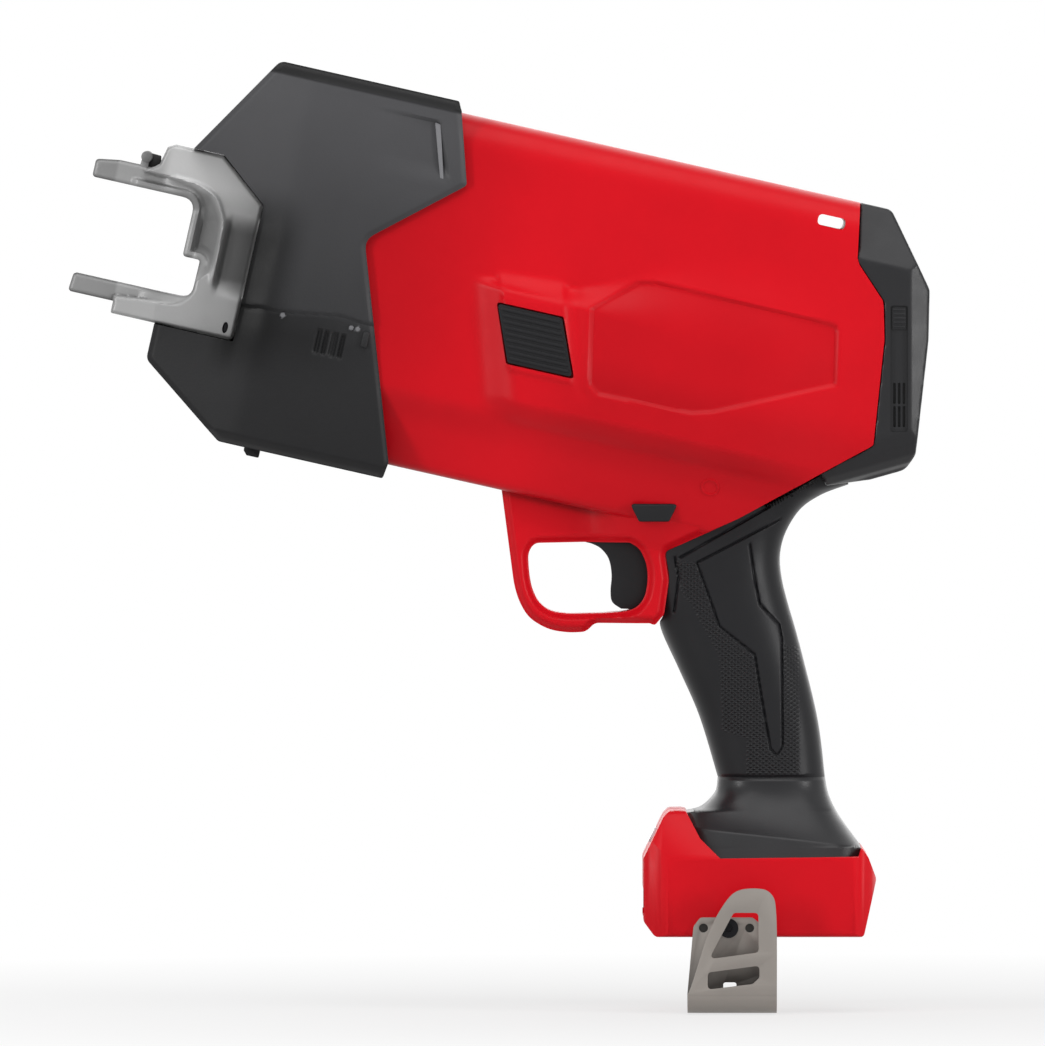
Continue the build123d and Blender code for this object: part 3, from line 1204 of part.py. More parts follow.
with BuildPart() as collar_left:
    extrude(outline(UPRIGHT, COLLAR_SIDE), amount=FOOT_HALF)
    extrude(outline(FRONT, COLLAR_FACE, [0, 0, 6, 10, 4, 0, 0]), amount=90, both=True, mode=Mode.INTERSECT)
    extrude(outline(UPRIGHT, CORE_OUTLINE), amount=CORE_HALF, mode=Mode.SUBTRACT)
    extrude(outline(UPRIGHT, SLEEVE), amount=SLEEVE_HALF, mode=Mode.SUBTRACT)

with BuildPart() as collar_right:
    mirror(collar_left.part, about=Plane.XZ)

# Controls: trigger on its switch, lock shuttle across the neck, release buttons on the sides
STEM_END = SWITCH_FRONT + TRIGGER_TRAVEL / 2
STEM_BORE = 2 * TRIGGER_TRAVEL
TRIGGER_ROOF = GUARD_ROOF - PLAY
TRIGGER_FLOOR = GUARD_FLOOR + 2 * PLAY
TRIGGER_OUTLINE = [
    (-65, TRIGGER_ROOF),
    (-65, TRIGGER_ROOF - 1.4),
    (-59.5, 145.3),
    (-56, 140),
    (-56.8, 127.5),
    (-53.5, TRIGGER_FLOOR),
    (TRIGGER_BACK, TRIGGER_FLOOR),
    (TRIGGER_BACK, TRIGGER_ROOF),
]
with BuildPart() as trigger:
    extrude(outline(UPRIGHT, TRIGGER_OUTLINE, [0, 0, 4, 6, 4, 2, 0, 0]), amount=TRIGGER_HALF, both=True)
    stem_plane = Plane(origin=(TRIGGER_BACK, 0, STEM_Z), x_dir=(0, 1, 0), z_dir=(1, 0, 0))
    extrude(disc(stem_plane, STEM_R), amount=STEM_END - TRIGGER_BACK)

with BuildPart() as trigger_switch:
    switch_plane = Plane(origin=(SWITCH_FRONT, 0, STEM_Z), x_dir=(0, 1, 0), z_dir=(1, 0, 0))
    with BuildSketch(switch_plane):
        Rectangle(2 * (CORE_HALF - WALL), SWITCH_HEIGHT)
    extrude(amount=SWITCH_BACK - SWITCH_FRONT)
    extrude(disc(switch_plane, STEM_R + PLAY), amount=STEM_BORE, mode=Mode.SUBTRACT)

with BuildPart() as trigger_spring:
    with BuildLine() as coil:
        Helix(
            pitch=5 * SPRING_WIRE,
            height=SWITCH_FRONT - TRIGGER_BACK - 2 * (SPRING_WIRE + SEAT_FIT),
            radius=SPRING_R,
            center=(TRIGGER_BACK + SPRING_WIRE + SEAT_FIT, 0, STEM_Z),
            direction=(1, 0, 0),
        )
    with BuildSketch(Plane(origin=coil.line @ 0, z_dir=coil.line % 0)):
        Circle(SPRING_WIRE)
    sweep()

with BuildPart() as lock_shuttle:
    extrude(outline(UPRIGHT, SHUTTLE_OUTLINE, 1.0), amount=SHUTTLE_HALF, both=True)

BUTTON_MID = (
    BUTTON_FRONT + (BUTTON_LENGTH + BUTTON_RAKE) / 2,
    BUTTON_TOP - BUTTON_HEIGHT / 2,
)
BUTTON_CENTRE = MOUTH + AFT * BUTTON_MID[0] + UP * BUTTON_MID[1]
with BuildPart() as release_button_left:
    extrude(outline(SIDE.offset(BUTTON_IN), BUTTON_OUTLINE, 1.0), amount=BUTTON_OUT - BUTTON_IN)
    hollow = grown(SIDE.offset(BUTTON_IN), BUTTON_OUTLINE, -BUTTON_SKIN)
    extrude(hollow, amount=BUTTON_OUT - BUTTON_IN - BUTTON_SKIN, mode=Mode.SUBTRACT)

with BuildPart() as release_button_right:
    mirror(release_button_left.part, about=Plane.XZ)

with BuildPart() as button_spring_left:
    with BuildLine() as coil:
        Helix(
            pitch=3.5 * SPRING_WIRE,
            height=BUTTON_OUT - BUTTON_SKIN - BUTTON_FLOOR - 2 * (SPRING_WIRE + SEAT_FIT),
            radius=SPRING_R,
            center=BUTTON_CENTRE + Vector(0, -BUTTON_FLOOR - SPRING_WIRE - SEAT_FIT, 0),
            direction=(0, -1, 0),
        )
    with BuildSketch(Plane(origin=coil.line @ 0, z_dir=coil.line % 0)):
        Circle(SPRING_WIRE)
    sweep()

with BuildPart() as button_spring_right:
    mirror(button_spring_left.part, about=Plane.XZ)

# Battery foot: board, terminals, work light and belt hook
with BuildPart() as control_board:
    with BuildSketch(Plane.XY.offset(BOARD_Z)):
        Rectangle(2 * SLIDE_BACK - RAIL_LIP, 2 * RAIL_HALF - RAIL_LIP)
    extrude(amount=BOARD_T)
    with BuildSketch(Plane.XY.offset(BOARD_Z + BOARD_T)):
        with GridLocations(SLIDE_BACK / 2, RAIL_HALF / 2, 3, 3):
            RectangleRounded(SLIDE_BACK / 4, RAIL_HALF / 4, 1)
    extrude(amount=CHIP_HEIGHT)

BLOCK_Z = CEILING_Z - BLOCK_HEIGHT
with BuildPart() as terminal_block:
    with BuildSketch(Plane.XY.offset(BLOCK_Z)):
        with Locations(((BLOCK_FRONT + SLIDE_BACK) / 2, 0)):
            Rectangle(SLIDE_BACK - BLOCK_FRONT, 2 * BLOCK_HALF)
    extrude(amount=BLOCK_HEIGHT)

with BuildPart() as battery_contacts:
    with BuildSketch(Plane.XY.offset(BLOCK_Z + BLOCK_HEIGHT / 4)):
        with Locations((BLOCK_FRONT - CONTACT_LENGTH / 2, 0)):
            with GridLocations(CONTACT_LENGTH, CONTACT_STEP, 1, 4):
                Rectangle(CONTACT_LENGTH, CONTACT_T)
    extrude(amount=BLOCK_HEIGHT / 2)

with BuildPart() as work_light:
    extrude(light_face(0), amount=LIGHT_DEPTH + LIGHT_PROUD)

HOOK_IN = FOOT_HALF
HOOK_OUT = HOOK_IN + 2 * HOOK_T + HOOK_GAP
HOOK_BEND_R = (HOOK_OUT - HOOK_IN) / 2
HOOK_BEND_Z = HOOK_BOTTOM + HOOK_BEND_R
HOOK_MID = (HOOK_IN + HOOK_OUT) / 2
HOOK_PLATE = [
    (HOOK_FRONT, HOOK_BEND_Z),
    (-25.2, -15.5),
    (-21.7, -1.5),
    (-14.1, 13.7),
    (-6.5, 19),
    (1, 19),
    (6.6, 13.7),
    (HOOK_BACK, HOOK_BEND_Z),
]
HOOK_LEG = [
    (HOOK_FRONT, HOOK_BEND_Z),
    (-24.3, 4.2),
    (-21.7, 7.6),
    (-1.9, 7.6),
    (1, 4.8),
    (HOOK_BACK, HOOK_BEND_Z),
]
HOOK_WINDOWS = [
    [(-8.5, 9.9), (0.2, 9.9), (0.6, -4.6), (-17.1, -8)],
    [(-19, -12.6), (1.2, -9.4), (1.2, -14.5), (-1.8, -16.7), (-19.5, -19.6)],
]
LEG_WINDOW = box_points(-13, -20, -8, -15)
HOOK_EYES = [(HOOK_HOLE[0] - 9.5, HOOK_HOLE[1]), (HOOK_HOLE[0] + 8, HOOK_HOLE[1])]
with BuildPart() as belt_hook:
    plate_plane = UPRIGHT.offset(HOOK_OUT - HOOK_T)
    leg_plane = UPRIGHT.offset(HOOK_IN)
    extrude(outline(plate_plane, HOOK_PLATE, [0, 4, 10, 8, 5, 5, 5, 0]), amount=HOOK_T)
    for window in HOOK_WINDOWS:
        extrude(outline(plate_plane, window, 1.6), amount=HOOK_T, mode=Mode.SUBTRACT)
    extrude(outline(leg_plane, HOOK_LEG, [0, 2, 2, 2, 2, 0]), amount=HOOK_T)
    with BuildSketch(Plane(origin=(HOOK_FRONT, 0, 0), x_dir=(0, 1, 0), z_dir=(1, 0, 0))):
        with Locations((-HOOK_MID, HOOK_BEND_Z)):
            Circle(HOOK_BEND_R)
            Circle(HOOK_BEND_R - HOOK_T, mode=Mode.SUBTRACT)
        with Locations((-HOOK_MID, HOOK_BEND_Z + HOOK_BEND_R)):
            Rectangle(4 * HOOK_BEND_R, 2 * HOOK_BEND_R, mode=Mode.SUBTRACT)
    extrude(amount=HOOK_BACK - HOOK_FRONT)
    extrude(outline(leg_plane, LEG_WINDOW, 1.0), amount=HOOK_T, mode=Mode.SUBTRACT)
    extrude(discs(leg_plane, [HOOK_HOLE], BOLT_D / 2 + SEAT_FIT), amount=HOOK_T, mode=Mode.SUBTRACT)
    extrude(discs(leg_plane, HOOK_EYES, SOCKET_R), amount=HOOK_T, mode=Mode.SUBTRACT)

with BuildPart() as hook_screw:
    seat_plane = UPRIGHT.offset(HOOK_IN + HOOK_T)
    extrude(discs(seat_plane, [HOOK_HOLE], BOLT_D / 2), amount=RAIL_HALF + 1 - HOOK_IN - HOOK_T)
    extrude(discs(seat_plane, [HOOK_HOLE], SCREW_HEAD_D / 2), amount=SCREW_HEAD_T)
    socket = hexagons(seat_plane.offset(SCREW_HEAD_T), [HOOK_HOLE])
    extrude(socket, amount=-SOCKET_DEPTH, mode=Mode.SUBTRACT)

PIECES = {
    "blade": blade,
    "blade_gears": blade_gears,
    "pivot_bush": pivot_bush,
    "jaw_left": jaw_left,
    "jaw_right": jaw_right,
    "pivot_pin": pivot_pin,
    "cheek_screws": cheek_screws,
    "arm_screws": arm_screws,
    "drive_rack": drive_rack,
    "drive_nut": drive_nut,
    "drive_screw": drive_screw,
    "screw_bearing": screw_bearing,
    "planet_carrier": planet_carrier,
    "planet_pins": planet_pins,
    "planet_gear_1": planets[0],
    "planet_gear_2": planets[1],
    "planet_gear_3": planets[2],
    "sun_gear": sun_gear,
    "ring_gear": ring_gear,
    "gearbox_housing": gearbox_housing,
    "gearbox_cover": gearbox_cover,
    "gearbox_screws": gearbox_screws,
    "motor_stator": motor_stator,
    "motor_windings": motor_windings,
    "motor_rotor": motor_rotor,
    "motor_shaft": motor_shaft,
    "front_bearing": front_bearing,
    "rear_bearing": rear_bearing,
    "motor_fan": motor_fan,
    "housing_left": housing_left,
    "housing_right": housing_right,
    "foot_left": foot_left,
    "foot_right": foot_right,
    "housing_screws": housing_screws,
    "nose_cover_left": nose_cover_left,
    "nose_cover_right": nose_cover_right,
    "nose_screws": nose_screws,
    "rear_cap": rear_cap,
    "grip_left": grip_left,
    "grip_right": grip_right,
    "collar_left": collar_left,
    "collar_right": collar_right,
    "trigger": trigger,
    "trigger_switch": trigger_switch,
    "trigger_spring": trigger_spring,
    "lock_shuttle": lock_shuttle,
    "release_button_left": release_button_left,
    "release_button_right": release_button_right,
    "button_spring_left": button_spring_left,
    "button_spring_right": button_spring_right,
    "control_board": control_board,
    "terminal_block": terminal_block,
    "battery_contacts": battery_contacts,
    "work_light": work_light,
    "belt_hook": belt_hook,
    "hook_screw": hook_screw,
}
os.makedirs("parts", exist_ok=True)
for label, piece in PIECES.items():
    piece.part.label = label
    export_step(piece.part, f"parts/{label}.step")
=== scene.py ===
"""Cordless pipe cutter: its visible pieces, their finishes and the studio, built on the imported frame."""

import json
import math

import bpy
import numpy as np
from bpy.props import FloatProperty, FloatVectorProperty, IntProperty, PointerProperty
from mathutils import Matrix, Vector


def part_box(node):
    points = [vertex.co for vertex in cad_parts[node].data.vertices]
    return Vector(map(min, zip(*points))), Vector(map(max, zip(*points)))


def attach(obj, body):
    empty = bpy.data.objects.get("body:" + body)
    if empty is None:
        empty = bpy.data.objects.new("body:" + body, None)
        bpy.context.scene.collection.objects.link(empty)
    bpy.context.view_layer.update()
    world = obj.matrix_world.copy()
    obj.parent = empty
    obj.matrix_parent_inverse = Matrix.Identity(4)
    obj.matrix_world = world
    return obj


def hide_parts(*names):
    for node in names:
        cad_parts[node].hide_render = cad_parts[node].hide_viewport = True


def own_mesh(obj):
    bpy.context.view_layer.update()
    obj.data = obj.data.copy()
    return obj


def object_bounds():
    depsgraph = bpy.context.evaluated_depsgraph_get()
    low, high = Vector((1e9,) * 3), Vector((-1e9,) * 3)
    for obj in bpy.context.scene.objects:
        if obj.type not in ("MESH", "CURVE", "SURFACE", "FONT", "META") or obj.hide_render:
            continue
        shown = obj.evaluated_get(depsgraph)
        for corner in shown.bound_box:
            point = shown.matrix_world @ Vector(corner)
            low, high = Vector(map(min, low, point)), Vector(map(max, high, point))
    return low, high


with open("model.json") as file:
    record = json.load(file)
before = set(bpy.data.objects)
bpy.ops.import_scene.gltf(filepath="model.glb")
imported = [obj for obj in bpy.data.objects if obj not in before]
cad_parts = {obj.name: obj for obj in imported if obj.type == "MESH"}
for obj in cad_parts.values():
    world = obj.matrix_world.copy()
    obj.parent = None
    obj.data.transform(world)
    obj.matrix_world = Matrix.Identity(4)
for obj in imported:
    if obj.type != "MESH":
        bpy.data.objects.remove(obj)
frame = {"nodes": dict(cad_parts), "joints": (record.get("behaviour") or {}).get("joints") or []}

bl_info = {
    "name": "Cordless Pipe Cutter",
    "version": (1, 0, 0),
    "blender": (4, 5, 0),
    "location": "View3D > Sidebar > Cutter",
    "description": "Models and finishes a cordless pipe cutter on its packed frame",
    "category": "Object",
}

CAD_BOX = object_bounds()
MM = 0.001
RELIEF_DEPTH = 60  # how far a carved sheet is extruded inwards, in mm like the next three
SCREW_WELL = 4.0   # radius of the wells for screw heads
SPRING_WIRE = 0.5  # radius of a spring's wire
SOFT_WALL = 3.0    # thickness of the grip and the collar
OVAL = 2.5         # power of the grip's oval section
SENSOR = 36        # width of the camera's sensor in mm

# The barrel leans nose-up. Its own axes run aft (a) and up (h) from the middle of the jaw's mouth.
TILT = math.radians(12.7)
MOUTH_X, MOUTH_Z = -235.2, 266.0


def barrel(a, h, y):
    """A place in the barrel's own axes, in metres."""
    a, h, y = np.broadcast_arrays(np.asarray(a, float), h, y)
    x = MOUTH_X + a * math.cos(TILT) + h * math.sin(TILT)
    z = MOUTH_Z - a * math.sin(TILT) + h * math.cos(TILT)
    return np.stack([x, y, z], axis=-1) * MM


def barrel_plan(a, y, h):
    """A place in the barrel's axes, for an outline seen from above it."""
    return barrel(a, h, y)


def barrel_end(y, h, a):
    """A place in the barrel's axes, for an outline seen along it."""
    return barrel(a, h, y)


def upright(x, z, y):
    """A place in the tool's upright axes, for an outline seen from the side."""
    x, z, y = np.broadcast_arrays(np.asarray(x, float), z, y)
    return np.stack([x, y, z], axis=-1) * MM


def level(x, y, z):
    """A place in the upright axes, for an outline seen from above."""
    return upright(x, z, y)


def endwise(y, z, x):
    """A place in the upright axes, for an outline seen from the front."""
    return upright(x, z, y)


def to_barrel(x, z):
    """The barrel's (a, h) of an upright (x, z)."""
    dx, dz = x - MOUTH_X, z - MOUTH_Z
    return (dx * math.cos(TILT) - dz * math.sin(TILT), dx * math.sin(TILT) + dz * math.cos(TILT))


# Outlines, in millimetres. The jaw, nose and barrel use (a, h); the handle, foot and hook use upright (x, z).
# Sections, faces and the cap's belly are seen from the end and start with y; plans and facets end with it.
JAW_OUTLINE = [(-22, 18), (-22, 24.9), (-13, 26.4), (-0.2, 26.4), (2.2, 28.4), (3.7, 35.2), (6.2, 36.7),
               (25.5, 36.7), (44, 21.7), (44, -31), (-3.8, -31), (-3.8, -26.4), (-21.5, -26.4), (-20.8, -19),
               (25, -19), (25, -4), (18.2, -4), (18.2, 18)]
JAW_ROUNDS = [1.5, 1.5, 3, 1, 2, 1, 1, 2, 1.5, 2.5, 1, 0.3, 1.5, 1.5, 5, 1, 1.5, 5]
CHEEK_SCREW = (40.1, -26.8)
CHEEK_EDGE = [(-2.8, 24.4), (5, 24.2), (10.2, 23.9), (19, 23.2), (25.4, 20.5), (28.8, 15.5), (30.6, 10.7),
              (31.1, 0), (30.5, -6), (27.5, -10), (25.4, -12.5), (24.9, -16), (22.8, -19.8), (19, -22.1),
              (8, -23.2), (-3.8, -24.4)]
CHEEK_REST = [(-3.8, -31), (44, -31), (44, 21.7), (25.5, 36.7), (6.2, 36.7), (3.7, 35.2), (2.2, 28.4)]
MOUTH_EDGE = [(-26, 18), (18.2, 18), (18.2, -4), (25, -4), (25, -19), (-26, -19)]
MOUTH_ROUNDS = [0, 5, 1.5, 1, 5, 0]
RIDGE = [(10, 23.9), (19, 23.2), (25.4, 20.5), (28.8, 15.5), (30.6, 10.7), (31.1, 0), (31.2, -8), (31.2, -13)]
ARM_OUTLINE = [(28.5, 28), (114, 28), (114, -12), (76.4, -24), (63.8, -38), (44.2, -38), (28.5, -30)]
NOSE_OUTLINE = [(13.5, -45), (13.5, 36.7), (38.5, 76.6), (107.8, 76.6), (109.8, 72.5), (117.8, 46),
                (84.5, 17.5), (111.9, -63), (111, -69.4), (47, -69.4)]
NOSE_ROUNDS = [4, 2, 4, 1, 2, 2, 6, 3, 1, 3]
NOSE_ROOM = [(16.5, -44), (16.5, 35.7), (40, 73.7), (140, 73.7), (140, -66.4), (48.5, -66.4)]
NOSE_ROOM_PLAN = [(10, 1), (10, -20), (13.5, -20), (54, -31.5), (145, -31.5), (145, 1)]
DOOR_SEAM = [(30, -17), (46, -17), (60.5, -16), (81.6, -12.8), (95.5, -13.9), (120, -14)]
DOOR_PINS = [(60.5, -17.2), (86.9, -16.2), (89.4, -16.2)]
# A thin bar on the nose panel's rear wall that carries a painted highlight.
PANEL_HIGHLIGHT_BAR = [(100.7, 66.9), (103.1, 66.3), (108.7, 46.2), (107.2, 46.6)]
NOSE_LUG = [(57, -68), (57, -71), (58.5, -72.6), (63.2, -72.6), (63.2, -68)]
CHEEK_POCKET = [(0, 37), (25.6, 37), (44.3, 21.8), (44.3, -31.3), (0, -31.3)]
JAW_NOTCH = [(0, -31.2), (0, 36.9), (26.5, 36.9), (32.7, 30.7), (32.7, -31.2)]
BLADE_WAY = [(5, 35.7), (5, 47), (24, 54), (36, 54), (36, 35.7)]
NOSE_SCREWS = [(52, 66), (70, 66), (42, -57), (70, -58)]
BARREL_FRONT = 78
BODY_SECTION = [(0, 72.5), (-35, 72.5), (-35, -36), (-22, -64), (0, -64)]
BODY_ROUNDS = [0, 14, 12, 7, 0]
PANEL_OUTLINE = [(173.6, 11.1), (189.1, 25.1), (195.4, 26.5), (265.7, 25.6), (267.3, 23.6), (271.3, 2.7),
                 (227.6, -17.7), (219.5, -19.9), (183.4, -20.6), (179.2, -17.6)]
CAP_SEAM = [(264.9, 72.5), (268.7, 50.4), (281.7, 37.8), (285.2, 23.8), (289.9, -16.1)]
TAIL_EDGE = [to_barrel(42.2, 185.4), to_barrel(23.9, 175.6), to_barrel(-6.5, 158.8)]
# The barrel's rear edge, as (h, a) from below.
REAR_EDGE = [(-64, 233.3), *sorted((h, a) for a, h in TAIL_EDGE), *[(h, a) for a, h in reversed(CAP_SEAM)]]
CAP_OUTLINE = [*CAP_SEAM, *TAIL_EDGE[:2], to_barrel(26, 171),
               (291.7, -29.3), (303.9, -22.7), (306.3, -16.3), (301.5, 27.4), (297.7, 46.1), (277, 72.5)]
CAP_ROUNDS = [0, 0, 0, 0, 0, 0, 0, 0, 2, 6, 5, 8, 4, 4]
CAP_SECTION = [(0, 72.5), (-24.5, 72.5), (-35, 51.5), (-35, -36), (-22, -64), (0, -64)]
CAP_SECTION_ROUNDS = [0, 2, 2, 12, 7, 0]
CAP_FACETS = [(-60, -36), (56.2, -36), (86.2, -19.5), (86.2, 19.5), (56.2, 36), (-60, 36)]
CAP_BELLY = [(40, -6), (20, -6), (22.5, 0), (27, 1.6), (30.5, 4.4), (33.3, 8.4), (35.2, 14), (40, 14)]
BUTTON_WELL = [(138.4, 5.6), (164.5, 5.6), (173.6, -16.6), (147.1, -16.6)]
WELL_FLOOR = [(137.6, 6.6), (165.6, 6.6), (175, -17.6), (146.2, -17.6)]
# The direction down the barrel's leaning flank, and that of the line along the cap's belly.
FLANK_DOWN, FLANK_IN = 0.907, 0.421
TAIL_RUN, TAIL_RISE = 0.963, 0.269
MOULD_RING = (232.9, 10.3)
# Radius, inner end and outer end of the bosses round the barrel's screws.
LOW_BOSS, HIGH_BOSS = (5.0, 18, 33.4), (5.8, 29.5, 33)
BARREL_SCREWS = [(100, 60), (150, 60), (236, 58), (100, -52), (150, -52), (208, -52)]
GUARD_OUTLINE = [(-98.2, 184), (-98.2, 178), (-94.6, 150.5), (-92.3, 133), (-90.4, 126.7), (-86.7, 120.4),
                 (-79, 115.9), (-71.2, 114.9), (-65, 115.2), (-61.6, 118.6), (-40.7, 118.6), (-38.8, 117.8),
                 (-35.3, 122), (-33.4, 135.3), (-34.6, 144.4), (-33.8, 146.3), (-6.5, 158.8), (-6.5, 184)]
GUARD_ROUNDS = [0, 0, 0, 60, 60, 60, 60, 30, 5, 4, 2, 3, 3, 6, 2, 1, 0, 0]
GUARD_OPENING = [(-66, 149.4), (-84.7, 149), (-87, 145.2), (-86.6, 137.6), (-85.5, 131.5), (-82.9, 126.2),
                 (-78.7, 123.1), (-72.6, 122.1), (-60, 122.3), (-50, 123), (-45.5, 124.5), (-42.5, 128.5),
                 (-41.4, 135), (-41.8, 141), (-44.5, 147), (-48.3, 149.3)]
OPENING_ROUNDS = [0, 4, 8, 60, 60, 60, 60, 60, 60, 60, 60, 60, 60, 60, 8, 1]
CORE_OUTLINE = [(-26, 160), (-26.5, 122), (-27.5, 113), (-22.3, 100.3), (-14.7, 82.8), (-7.8, 60), (-7.8, 32),
                (19, 32), (19, 60), (16.2, 82.1), (9.3, 110.6), (2.6, 135.3), (2.9, 149), (8, 160), (8, 168)]
CORE_SCREWS = [(4, 76), (-6, 106)]
FOOT_SEAM = [(-27, 47.3), (-21.7, 37.2), (-14.1, 29.8), (38.4, 30.4), (39.5, 34)]
FOOT_OUTLINE = [(-43.3, 29.6), (-35.6, 45.4), (-33.5, 47.6), (-28.8, 47.7), *FOOT_SEAM, (42.2, 30), (45.2, 22),
                (40.3, 0), (-38.8, 0), (-43.3, 6)]
FOOT_ROUNDS = [3, 3, 2.5, 1.5, 0, 0, 0, 0, 0.5, 3, 3, 2, 3, 4]
FOOT_FACE = [(0, 0), (-38, 0), (-38, 30), (-29, 48.5), (0, 48.5)]
FOOT_FACE_ROUNDS = [0, 3, 8, 6, 0]
FOOT_PLAN = [(-43.4, 0), (-43.4, -33.2), (-34, -38), (45.3, -38), (45.3, 0)]
FOOT_PLAN_ROUNDS = [0, 3, 14, 12, 0]
FOOT_SCREW = (-31, 39)
SPARE_HOLE = (-11, 3.6)
COLLAR_TOP = 60
GRIP_BACK = [(26, 60), (23.2, 82.1), (16.3, 110.6), (9.6, 135.3), (9.7, 149), (15.8, 160.8), (24.5, 167.2),
             (35, 171.2)]
GRIP_FRONT = [(-14.8, 60), (-21.7, 82.8), (-29.3, 100.3), (-36.5, 116.5), (-35.3, 122), (-33.4, 135.3),
              (-34.6, 144.4), (-33.8, 146.3)]
HANDLE_FRONT = [*GRIP_FRONT[:4], (-42.5, 130), (-46, 150), (-47, 175)]
HANDLE_BACK = [*GRIP_BACK, (44, 176)]
GRIP_TOP = [(-33.8, 146.3), (-6.5, 158.8), (23.9, 175.6), (35, 171.2)]
GRIP_FOOT = [(-14.8, COLLAR_TOP), (26, COLLAR_TOP)]
GRIP_PANEL = [(-22.8, 141.7), (-14.1, 117.4), (-0.8, 106.8), (1.9, 89.7), (5.2, 70.8), (7.6, 68.2), (9.8, 71.8),
              (9.5, 112.5), (8.4, 118.2), (1.1, 125.8), (-0.8, 135.3), (-2.7, 148.6)]
GRIP_LINES = [GRIP_PANEL, [(-29.3, 143.6), (4.9, 163.0)], [(-22.8, 141.7), (8.7, 158.1)],
              [(-31.3, 143.8), (-29.8, 136), (-31.5, 123)]]
GRIP_KNURL = [(-31, 142), (-28, 130), (-25, 126), (-14, 106), (-13, 78.3), (-3.6, 75), (-3.6, 61.5), (15.9, 61.5),
              (15.9, 109), (-4, 114), (-22, 142)]
COLLAR_FRONT = [(-14.8, 60), (-15.5, 55), (-18, 51.5), (-21.7, 48.6), (-27, 47.3)]
COLLAR_BACK = [(26, 60), (27.5, 53), (31.5, 45), (39.5, 34)]
TRIGGER_FRONT = [(-65, 149.3), (-62.4, 148.6), (-59.2, 146.8), (-56.3, 142.9), (-55.2, 136.8), (-55.6, 130.7),
                 (-55.0, 126.6), (-51.6, 124)]
SLIDER_OUTLINE = [(-48.3, 164.2), (-44.9, 157.4), (-33.5, 157.4), (-30.1, 164.2)]
BUTTON_OUTLINE = [(139, 5), (164, 5), (172.6, -16), (147.6, -16)]
HOOK_PLATE = [(-26.6, -21.3), (-25.2, -18), (-22.4, -9.2), (-19.6, -0.3), (-16.6, 6.6), (-13.2, 12.5),
              (-9.7, 16.8), (-6, 18.6), (-0.8, 19), (3.4, 18.2), (6, 15.4), (6.8, 11), (7.2, 0), (7.2, -21.3)]
HOOK_EYES = [(-20.5, 3.6), (-3, 3.6)]
HOOK_LEG = [(-26.6, -21.3), (-24.3, 4.2), (-21.7, 7.6), (-1.9, 7.6), (1.2, 5), (5.5, -5), (7.2, -12), (7.2, -21.3)]
HOOK_LEG_ROUNDS = [0, 3, 2, 2, 3, 4, 4, 0]
HOOK_WINDOWS = [[(-9.2, 9.8), (0.2, 9.8), (0.3, -5.2), (-18.6, -7.8)],
                [(-19, -12.8), (0.6, -10.2), (0.6, -14.8), (-2, -17.2), (-19, -19.3)]]


def srgb(red, green, blue):
    """A colour as seen on screen, from 0 to 255, turned into the renderer's linear values."""
    parts = (red / 255, green / 255, blue / 255)
    return tuple(p / 12.92 if p <= 0.04045 else ((p + 0.055) / 1.055) ** 2.4 for p in parts)


def number(name, about, default, **kind):
    """A number among the settings."""
    return FloatProperty(name=name, description=about, default=default, **kind)


def colour(name, about, *seen):
    """A colour among the settings, given as it shows on screen."""
    return FloatVectorProperty(name=name, description=about, subtype="COLOR", size=3, default=srgb(*seen))


class CutterSizes(bpy.types.PropertyGroup):
    """Sizes of the details that dress the frame, in millimetres."""

    wall: number("Wall", "Thickness of the red shell in mm", 2.6)
    pad_rise: number("Pad rise", "How far the side pad stands out in mm", 7.3)
    panel_depth: number("Panel depth", "Depth of the side panel in mm", 1.5)
    barrel_columns: IntProperty(name="Barrel columns", description="Faces along the barrel", default=190)
    barrel_rows: IntProperty(name="Barrel rows", description="Faces round half the barrel", default=160)
    seam_gap: number("Seam gap", "Gap at the rear seam in mm", 0.3)
    grip_half: number("Grip half width", "Half the grip's width in mm", 17.5)
    groove: number("Groove depth", "Depth of the grip's lines in mm", 0.9)


class CutterColours(bpy.types.PropertyGroup):
    """Colours of the finishes."""

    red: colour("Housing red", "Moulded red of the housing", 208, 14, 28)
    nose: colour("Nose", "Dark grey nose covers", 78, 78, 80)
    rubber: colour("Rubber", "Soft black of the grip and cap", 31, 31, 33)
    black: colour("Black plastic", "Trigger, buttons and slider", 29, 29, 31)
    cast: colour("Casting", "Grey of the cast jaw", 158, 158, 158)
    hook: colour("Hook", "Warm grey of the belt hook", 146, 140, 134)


class CutterStage(bpy.types.PropertyGroup):
    """The camera and the studio light."""

    width: number("Frame width", "Width of the picture at the tool", 0.397, unit="LENGTH")
    rise: number("Camera rise", "How far above level the camera looks from", math.radians(1.0), subtype="ANGLE")
    lens: number("Lens", "Focal length in mm", 800.0, subtype="DISTANCE_CAMERA")
    left: number("Left lamp", "Power of the lamp on the left in watts", 9.0)
    right: number("Right lamp", "Power of the lamp on the right in watts", 11.0)
    top: number("Top lamp", "Power of the lamp above in watts", 18.0)
    back: number("Back lamp", "Power of the lamp behind in watts", 12.0)
    sky: number("Sky", "Strength of the light all round", 0.3)


# Mesh helpers.
def fresh():
    """Leave object mode with nothing selected."""
    if bpy.context.object and bpy.context.object.mode != "OBJECT":
        bpy.ops.object.mode_set(mode="OBJECT")
    bpy.ops.object.select_all(action="DESELECT")


def pick(piece):
    """Make one piece the only selected and active one."""
    fresh()
    piece.select_set(True)
    bpy.context.view_layer.objects.active = piece


def edit_all(piece):
    """Enter edit mode on a piece with all of it selected."""
    pick(piece)
    bpy.ops.object.mode_set(mode="EDIT")
    bpy.ops.mesh.select_all(action="SELECT")


